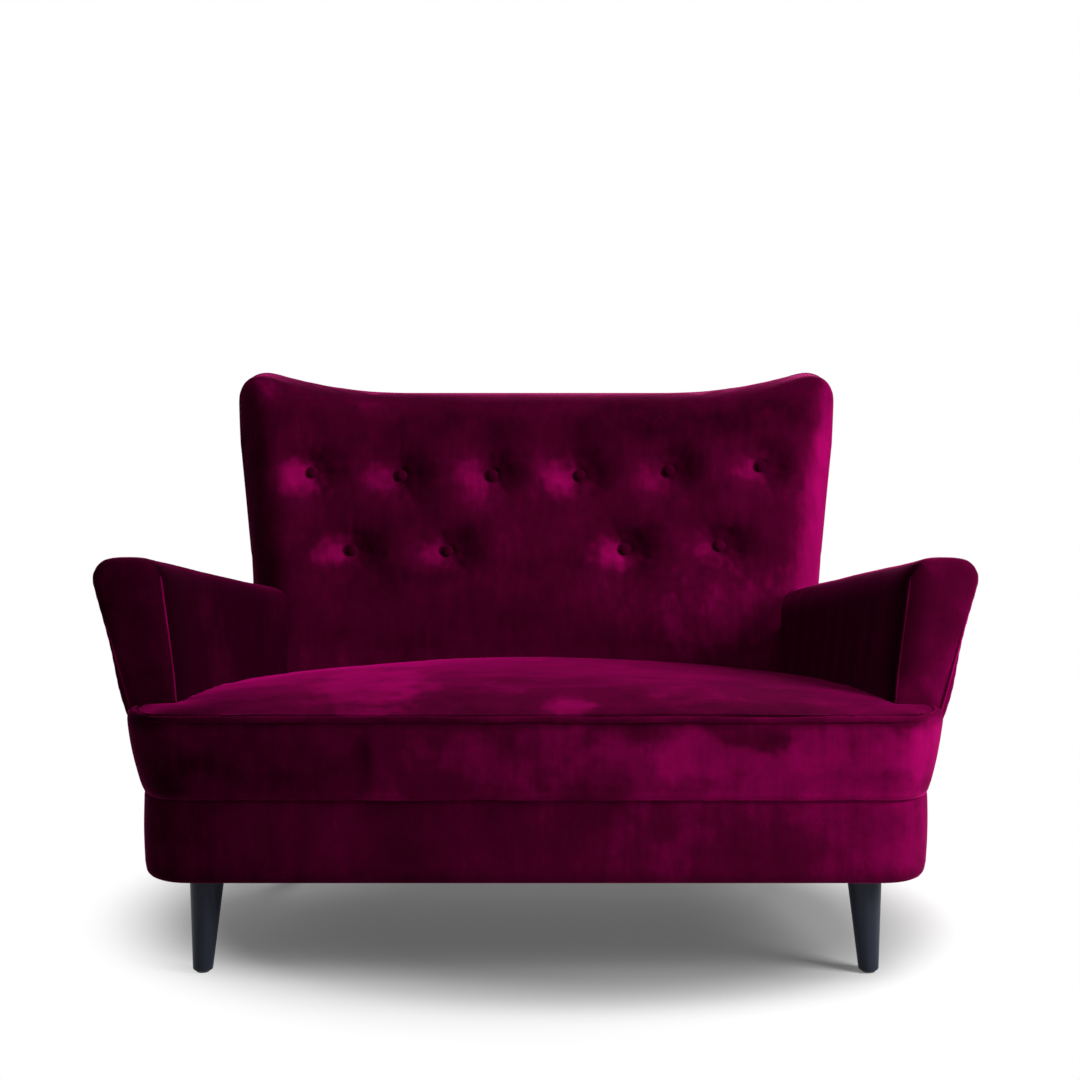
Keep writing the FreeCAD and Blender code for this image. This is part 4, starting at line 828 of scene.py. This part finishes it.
back_solids = copied_solids("inside_back_cover", "outside_back_cover", "back_foam", "outside_back_board",
                            "back_top_rail", "back_lower_rail", "back_post_left", "back_post_right",
                            "back_uprights", "back_cloth", "back_straps")
back_pad = remeshed_piece("back_pad", back_solids, 0.008, velvets["back"])
points, out = surface_of(back_pad)
free = smooth_step(-behind_rear(points), 0.02, 0.05) * smooth_step(points[:, 2], 0.40, 0.46)
for centre in upper_buttons + lower_buttons:
    reach = np.hypot(points[:, 0] - centre.x, points[:, 2] - centre.z)
    free *= smooth_step(reach, 0.012, 0.03)
set_positions(back_pad, points - out * (0.003 * free)[:, None])
blow_up(back_pad, free, 0.008)
subdivided(back_pad)
print("back pad:", len(back_pad.data.polygons), "faces before its folds")


# %% Draw the back's folds and paint light and shade into its nap
def folds_between(points, first, second, depth, width):
    """A shallow valley from one button to another, deepest beside the buttons."""
    start = np.array([first.x, first.z])
    run = np.array([second.x, second.z]) - start
    flat = points[:, [0, 2]] - start
    share = np.clip(flat @ run / (run @ run), 0, 1)
    away = np.linalg.norm(flat - share[:, None] * run, axis=1)
    return depth * (0.3 + 0.7 * np.abs(2 * share - 1) ** 2) * np.exp(-(away / width) ** 2)


def folds_round(points, centre, seed):
    """Short creases that leave a button like the spokes of a wheel."""
    across = points[:, 0] - centre.x
    up = points[:, 2] - centre.z
    reach = np.hypot(across, up)
    angle = np.arctan2(up, across)
    depth = np.zeros(len(points))
    for spoke in range(7):
        turn = 2 * math.pi * (spoke + 0.35 * math.sin(seed * 2.3 + spoke * 1.7)) / 7 + seed
        apart = np.abs((angle - turn + math.pi) % (2 * math.pi) - math.pi) * reach
        long = 0.028 + 0.012 * math.sin(seed + spoke * 2.9)
        depth += 0.0022 * np.exp(-(apart / 0.0045) ** 2) * np.exp(-((reach - 0.02) / long) ** 2)
    return depth


def back_face_y(across, height):
    """Y of the back's hollow front face."""
    radius = (WING_HALF ** 2 + WING_HOLLOW ** 2) / (2 * WING_HOLLOW)
    crest_y = BACK_OVERHANG - CREST_DIP * BACK_OVERHANG / BACK_RISE - BACK_THICK_TOP
    slope = (crest_y + BACK_THICK_LOW) / (BACK_RISE - CREST_DIP - SEAT_RISE)
    hollow = radius - np.sqrt(radius ** 2 - across ** 2)
    return FRONT_Y + SEAT_DEPTH + slope * (height - SEAT_LEVEL) - hollow


def back_half(height):
    """Half the width of the back at a height."""
    return np.interp(height, (0.415, 0.546, 0.920), (0.505, 0.507, 0.546))


def back_crest(across):
    """The height of the back's top edge, lower in the middle."""
    return 0.880 + CREST_DIP * smooth_step(np.abs(across), 0.22, 0.48)


def rear_face_y(height):
    """Y of the back's leaning rear side."""
    return REAR_Y + (height - BASE_TOP) * math.tan(REAR_RAKE)


points, out = surface_of(back_pad)
x, y, z = points.T
facing = smooth_step(-out[:, 1], 0.2, 0.7)
sunk = np.zeros(len(points))
for row in (upper_buttons, lower_buttons):
    for first, second in zip(row, row[1:]):
        if second.x - first.x < 0.25:
            sunk += folds_between(points, first, second, 0.0022, 0.009)
for lower in lower_buttons:
    for upper in sorted(upper_buttons, key=lambda centre: (centre - lower).length)[:2]:
        sunk += folds_between(points, lower, upper, 0.0018, 0.010)
for index, centre in enumerate(upper_buttons + lower_buttons):
    sunk += folds_round(points, centre, index * 1.9)
    reach = np.hypot(x - centre.x, z - centre.z)
    sunk += 0.013 * np.exp(-(reach / 0.052) ** 2) * (1 - np.exp(-(reach / 0.022) ** 2))
edge = back_half(z) - np.abs(x)
roll = 0.030 * np.clip(1 - edge / 0.080, 0, 1) ** 2
crest = back_crest(x) - z
roll = np.maximum(roll, 0.018 * np.clip(1 - crest / 0.065, 0, 1) ** 2)
front_face = back_face_y(x, z)
rear_face = rear_face_y(z)
depth_share = np.clip((y - front_face) / (rear_face - front_face), 0, 1)
waves = soft_noise(points, 5.5, 4.0) * 0.003 + soft_noise(points, 15.0, 6.0) * 0.001
rear_seam = grooved(behind_rear(points) + 0.012, 0.004) * 0.002
points = points + out * ((waves - sunk) * facing - rear_seam)[:, None]
x, y, z = points.T
y += roll * (1 - depth_share) ** 1.5
low = z < BASE_TOP + FOOT_ZONE
rear_face = rear_face_y(z)
y[:] = np.where(low & (rear_face - y < FOOT_SNAP), rear_face, y)
z[:] = np.where(z < BASE_TOP + FOOT_LIFT, BASE_TOP, z)
set_positions(back_pad, points)
# Painted light and shade in the nap: a painted highlight on the left of each button and painted shade on its
# right, as its hollow faces towards and away from the main lamp; a painted highlight along the crest and the
# right wing; painted shade on the left wing and over the upper back right of its left end; a lighter patch on
# the right and a darker one on the left.
strokes_and_highlights = (0.20, 0.13, 0.10, 0.17, 0.09, 0.10, 0.20, 0.14, 0.20, 0.12)
nap_and_light = 0.05 * (1 - smooth_step(crest, 0.02, 0.06))
widening = 1 - smooth_step(z, 0.52, 0.76)
uneven = soft_noise(points, 20.0, 31.0) * 0.010
band = 1 - smooth_step(edge + uneven, 0.008, 0.050 + 0.055 * widening)
band *= smooth_step(0.6 - depth_share, 0.0, 0.4)
painted_wing_light = band * np.where(x > 0, 0.20, -0.05)
nap_and_light += 0.07 * patch(points, (0.33, 0.1, 0.51), (0.15, 9.0, 0.08), 11.0)
nap_and_light -= 0.05 * patch(points, (-0.24, 0.1, 0.50), (0.14, 9.0, 0.09), 13.0)
nap_and_light -= 0.09 * smooth_step(z, 0.76, 0.84) * smooth_step(x, -0.35, -0.10)
for centre, dimple_highlight in zip(upper_buttons + lower_buttons, strokes_and_highlights):
    for share, size in ((0.55, 1.5), (0.45, 0.8)):
        nap_and_light += dimple_highlight * share * patch(points, (centre.x - 0.024, centre.y, centre.z - 0.006),
                                      (0.034 * size, 0.5, 0.024 * size), dimple_highlight * 90)
    nap_and_light -= 0.07 * patch(points, (centre.x + 0.028, centre.y, centre.z + 0.012),
                        (0.046, 0.5, 0.040), dimple_highlight * 70)
paint_nap_and_light(back_pad, nap_and_light * facing + painted_wing_light)
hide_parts("inside_back_cover", "outside_back_cover", "back_foam")
print("back pad with folds to", len(upper_buttons + lower_buttons), "buttons")

# %% [markdown]
# The arms
#
# Each arm leans outwards in front and stands upright at the rear, and slopes down to the back. It is a
# prism that grows from its front section, one station at a time. Its rear end goes into the back and
# covers the arm's boards there. One arm is blown up as cloth and the other is its mirror image. Then
# the front panel's inner edge is rolled softly back, and the foot is set crisp on the base.

# %% Grow an arm from its front section
ARM_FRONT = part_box("arm_facing_right")[0].y - 0.001
ARM_REAR = FRONT_Y + 0.608
ARM_START = FRONT_Y + 0.090
ARM_SPAN = 0.510
FOOT_WIDTH = (0.064, 0.097)
TOP_WIDTH = (0.116, 0.091)
TOP_FLARE = (0.092, -0.006)
TOP_RISE = (0.358, 0.238)
ARM_RIDGE = 0.040
ARM_INNER_ROLL = 0.013


def along_arm(sizes, share, base=0.0):
    """A base with a size that changes evenly from an arm's front to its rear."""
    return base + sizes[0] + (sizes[1] - sizes[0]) * share


def arm_section(y, inset=0.0):
    """The right arm's four corners at a Y: inner foot, outer foot, outer top, inner top."""
    share = (y - ARM_START) / ARM_SPAN
    foot = half_width(y)
    foot_width = along_arm(FOOT_WIDTH, share)
    top_x = along_arm(TOP_FLARE, share, foot)
    top_width = along_arm(TOP_WIDTH, share)
    top_z = along_arm(TOP_RISE, share, BASE_TOP)
    return [Vector((foot - foot_width + inset, y, BASE_TOP)), Vector((foot - inset, y, BASE_TOP)),
            Vector((top_x - inset, y, top_z - inset)), Vector((top_x - top_width + inset, y, top_z - inset))]


def arm_block(inset):
    """The arm's prism with rounded ridges and a softened front rim."""
    mesh = bmesh.new()
    corners = [mesh.verts.new(corner) for corner in arm_section(ARM_FRONT, inset)]
    face = mesh.faces.new(corners)
    ridges = []
    for y in np.linspace(ARM_FRONT, ARM_REAR, 13)[1:]:
        made = bmesh.ops.extrude_face_region(mesh, geom=[face])["geom"]
        fresh = [item for item in made if isinstance(item, bmesh.types.BMVert)]
        following = [next(edge.other_vert(old) for edge in old.link_edges if edge.other_vert(old) in fresh)
                     for old in corners]
        for vertex, place in zip(following, arm_section(float(y), inset)):
            vertex.co = place
        for index in (2, 3):
            ridges.append(mesh.edges.get((corners[index], following[index])))
        if face.is_valid and len(ridges) > 2:
            bmesh.ops.delete(mesh, geom=[face], context="FACES_ONLY")
        face = [item for item in made if isinstance(item, bmesh.types.BMFace)][0]
        corners = following
    bmesh.ops.bevel(mesh, geom=ridges, offset=ARM_RIDGE - inset, offset_type="OFFSET", segments=8,
                    profile=0.5, affect="EDGES", material=-1)
    rim = [edge for edge in mesh.edges
           if all(abs(vertex.co.y - ARM_FRONT) < 0.0001 for vertex in edge.verts)
           and sum(vertex.co.z for vertex in edge.verts) > 2 * (BASE_TOP + 0.01)]
    bmesh.ops.bevel(mesh, geom=rim, offset=0.014, offset_type="OFFSET", segments=5, profile=0.5,
                    affect="EDGES", material=-1)
    bmesh.ops.recalc_face_normals(mesh, faces=mesh.faces[:])
    return mesh


arm_right = remeshed_piece("arm_right", arm_block(-0.004), 0.005, velvets["arm"], smoothing=12)
points = positions(arm_right)
beside = points[:, 0] < back_half(points[:, 2]) - 0.012
front_face = back_face_y(points[:, 0], points[:, 2])
points[:, 1] = np.where(beside, np.minimum(points[:, 1], front_face + 0.001), points[:, 1])
set_positions(arm_right, points)
print("arm block:", len(points), "points")
free = smooth_step(points[:, 2], BASE_TOP + 0.02, BASE_TOP + 0.12)
free *= 0.35 + 0.65 * smooth_step(points[:, 1], ARM_FRONT + 0.004, ARM_FRONT + 0.05)
free *= smooth_step(front_face - points[:, 1], 0.0, 0.05)
blow_up(arm_right, free, 0.005)
subdivided(arm_right)
arm_mesh = bmesh.new()
arm_mesh.from_mesh(arm_right.data)
bmesh.ops.scale(arm_mesh, vec=(-1, 1, 1), verts=arm_mesh.verts[:])
bmesh.ops.reverse_faces(arm_mesh, faces=arm_mesh.faces[:])
arm_left = as_piece("arm_left", arm_mesh, velvets["arm"])

# %% Give each arm its own small folds and the seam under its outer ridge
for arm, side, seed in ((arm_right, 1, 21.0), (arm_left, -1, 27.0)):
    points, out = surface_of(arm)
    x, y, z = points.T
    share = (y - ARM_START) / ARM_SPAN
    top = along_arm(TOP_RISE, share, BASE_TOP)
    outer = smooth_step(out[:, 0] * side, 0.5, 0.8) * smooth_step(share, 0.02, 0.20)
    seam = grooved(z - (top - 0.050), 0.004) * 0.0025 * outer
    held = smooth_step(z, BASE_TOP, BASE_TOP + 0.05)
    waves = soft_noise(points, 7.0, seed) * 0.0018 + soft_noise(points * [1, 1, 0.25], 26.0, seed) * 0.0003
    outer_foot = smooth_step(out[:, 0] * side, 0.2, 0.8) * grooved(z - 0.435, 0.06)
    outer_foot *= 1 - smooth_step(share, 0.2, 0.7)
    foot = half_width(y)
    inner_foot = foot - along_arm(FOOT_WIDTH, share)
    inner_top = along_arm(TOP_FLARE, share, foot) - along_arm(TOP_WIDTH, share)
    inner_line = inner_foot + (inner_top - inner_foot) * (z - BASE_TOP) / (top - BASE_TOP)
    rolled = np.maximum(1 - (x * side - inner_line) / 0.045, 0)
    rolled = np.maximum(rolled, 0.8 * np.maximum(1 - (top - z) / 0.035, 0)) ** 2
    rolled *= np.clip(1 - (y - ARM_FRONT) / 0.060, 0, 1) ** 1.5
    rolled *= smooth_step(z, 0.42, 0.47)
    points = points + out * (waves * held - seam + 0.006 * outer_foot)[:, None]
    x, y, z = points.T
    y += ARM_INNER_ROLL * np.minimum(rolled, 1)
    low = z < BASE_TOP + FOOT_ZONE
    outer_line = foot + along_arm(TOP_FLARE, share) * (z - BASE_TOP) / (top - BASE_TOP) + 0.0005
    across = np.where(low & (outer_line - x * side < FOOT_SNAP), outer_line, x * side)
    x[:] = across * side
    z[:] = np.where(z < BASE_TOP + FOOT_LIFT, BASE_TOP, z)
    set_positions(arm, points)
    # Painted light and shade in the nap: painted shade on the inner sides, deeper on the right arm, which
    # faces away from the main lamp; a painted highlight on the right arm's front near its outer edge; both
    # fronts otherwise a little darker; and random tone.
    inner = smooth_step(-out[:, 0] * side, 0.3, 0.8)
    shadow_side = -0.38 if side > 0 else -0.17
    front = smooth_step(-out[:, 1], 0.6, 0.9)
    tone = (0.06 * smooth_step(x, 0.585, 0.64) * (1 - smooth_step(z, 0.50, 0.60)) - 0.04
            if side > 0 else -0.05)
    paint_nap_and_light(arm, shadow_side * inner + tone * front + 0.022 * soft_noise(points * [1, 1, 0.2], 24.0, seed))
    word = "right" if side > 0 else "left"
    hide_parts("inside_arm_cover_" + word, "outside_arm_cover_" + word, "arm_foam_" + word,
                "arm_facing_" + word)
print("arms:", len(arm_right.data.polygons), "faces each")

# %% [markdown]
# Piping on the arms and the seat
#
# The front panel of each arm is sewn to the sides with a thin cord, which shows as a fine bright line
# on the inner edge and along the outer edge, with a painted highlight on the cords that face the main
# lamp and painted shade on the others, and is sunk into the cloth over the top. The cord lies on the
# cloth, so its line is found by looking straight at the arm from in front. The thicker cord of the
# seat is a copy of the solid cord, with the small unevenness of velvet drawn over a cord, and painted
# shade on its left end.

# %% Lay the thin cord round the front of each arm
ARM_CORD_RADIUS = 0.0018


def piping(name, places, radius, material):
    """A thin sewn cord along a row of places: a round curve made into a mesh."""
    curve = bpy.data.curves.new(name, "CURVE")
    curve.dimensions = "3D"
    curve.bevel_depth = radius
    curve.bevel_resolution = 3
    curve.use_fill_caps = True
    line = curve.splines.new("POLY")
    line.points.add(len(places) - 1)
    for point, place in zip(line.points, places):
        point.co = (*place, 1)
    holder = placed(name + "_line", curve)
    bpy.context.view_layer.update()
    data = bpy.data.meshes.new_from_object(holder.evaluated_get(bpy.context.evaluated_depsgraph_get()))
    bpy.data.objects.remove(holder)
    bpy.data.curves.remove(curve)
    return mesh_piece(name, data, material)


def front_cord(arm, side):
    """Places along the front edge of an arm, from the inner side over the top to the outer foot."""
    surface = bmesh.new()
    surface.from_mesh(arm.data)
    seen = BVHTree.FromBMesh(surface)
    surface.free()
    inner_foot, outer_foot, outer_top, inner_top = [Vector((corner.x, corner.z))
                                                    for corner in arm_section(ARM_FRONT)]
    start = inner_foot.lerp(inner_top, 0.34)
    end = outer_foot.lerp(outer_top, 0.06)
    path = rounded_path([start, inner_top, outer_top, end], [0, ARM_RIDGE, ARM_RIDGE, 0], 0.006, False)
    places = []
    for index, (point, inward, _) in enumerate(path):
        share = index / (len(path) - 1)
        outside = smooth_step(share, 0.50, 0.62)
        spot = point + inward * (0.003 + 0.003 * outside)
        hit = seen.ray_cast(Vector((spot.x * side, -1, spot.y)), Vector((0, 1, 0)))[0]
        if hit:
            over_top = smooth_step(share, 0.28, 0.38) * (1 - smooth_step(share, 0.56, 0.66))
            sunk = 0.0004 - 0.0010 * outside + 0.0045 * over_top
            places.append(Vector((hit.x, hit.y + float(sunk), hit.z)))
    for _ in range(3):
        places = [places[0]] + [(before + 2 * here + after) / 4 for before, here, after
                                in zip(places, places[1:], places[2:])] + [places[-1]]
    return places


for arm, side, word in ((arm_right, 1, "right"), (arm_left, -1, "left")):
    cord = piping("arm_piping_" + word, front_cord(arm, side), ARM_CORD_RADIUS, velvets["trim"])
    # Painted highlight on the right arm's outer cord and on the left arm's inner cord, painted shade on the
    # left arm's outer cord.
    across = positions(cord)[:, 0] * side
    outside = smooth_step(across, 0.585, 0.62)
    lit = 0.20 * outside + 0.02 * (1 - outside)
    shaded = 0.16 * (1 - outside) - 0.04 * outside
    paint_nap_and_light(cord, lit if side > 0 else shaded)
    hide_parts("arm_welt_" + word)
    print(cord.name, len(cord.data.vertices), "points")

# %% Draw velvet over the seat's cord
seat_piping = remeshed_piece("seat_piping", copied_solids("seat_welt"), 0.002, velvets["trim"])
points, out = surface_of(seat_piping)
uneven = soft_noise(points, 60.0, 12.0) * 0.0005 + soft_noise(points, 140.0, 13.0) * 0.0003
sway = soft_noise(points * [1, 1, 0], 9.0, 15.0) * 0.0016
points = points + out * uneven[:, None]
points[:, 2] += sway
set_positions(seat_piping, drawn_in(points))
# Painted shade on the left end of the cord.
paint_nap_and_light(seat_piping, -0.12 * smooth_step(-points[:, 0], 0.40, 0.56))
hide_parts("seat_welt")
print("seat piping:", len(seat_piping.data.polygons), "faces")

# %% [markdown]
# The buttons
#
# A covered button is a small domed cap with velvet stretched over it and tucked behind. Its profile is
# spun round its axis, and each button is turned to face out of the leaning back.

# %% Spin the covered buttons
BACK_LEAN = math.atan(0.2722)
BUTTON_RADIUS = 0.011


def covered_button(mesh, centre, seed):
    """Adds one button to a mesh, with small tucks round its rim."""
    profile = [(0.0, 0.0042), (0.0035, 0.0040), (0.0066, 0.0031), (0.0090, 0.0014), (0.0105, -0.0010),
               (0.0110, -0.0030), (0.0100, -0.0042), (0.0, -0.0042)]
    cap = bmesh.new()
    row = [cap.verts.new((out, 0, rise)) for out, rise in profile]
    edges = [cap.edges.new(pair) for pair in zip(row, row[1:])]
    bmesh.ops.spin(cap, geom=row + edges, cent=(0, 0, 0), axis=(0, 0, 1), angle=2 * math.pi, steps=28,
                   use_merge=True)
    bmesh.ops.remove_doubles(cap, verts=cap.verts[:], dist=0.00002)
    bmesh.ops.recalc_face_normals(cap, faces=cap.faces[:])
    for vertex in cap.verts:
        around = math.atan2(vertex.co.y, vertex.co.x)
        reach = math.hypot(vertex.co.x, vertex.co.y) / BUTTON_RADIUS
        tuck = 0.0004 * math.sin(9 * around + seed) * reach ** 3
        vertex.co *= 1 + tuck / BUTTON_RADIUS
    turn = Matrix.Translation(centre) @ Matrix.Rotation(math.pi / 2 - BACK_LEAN, 4, "X")
    bmesh.ops.transform(cap, matrix=turn, verts=cap.verts[:])
    data = bpy.data.meshes.new("cap")
    cap.to_mesh(data)
    cap.free()
    mesh.from_mesh(data)
    bpy.data.meshes.remove(data)


for name, row, node in (("buttons_upper", upper_buttons, "back_buttons_upper"),
                        ("buttons_lower", lower_buttons, "back_buttons_lower")):
    mesh = bmesh.new()
    for index, centre in enumerate(row):
        covered_button(mesh, centre, index * 1.3)
    buttons = subdivided(as_piece(name, mesh, velvets["button"]))
    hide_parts(node)
    print(name, len(row), "buttons,", len(buttons.data.polygons), "faces")
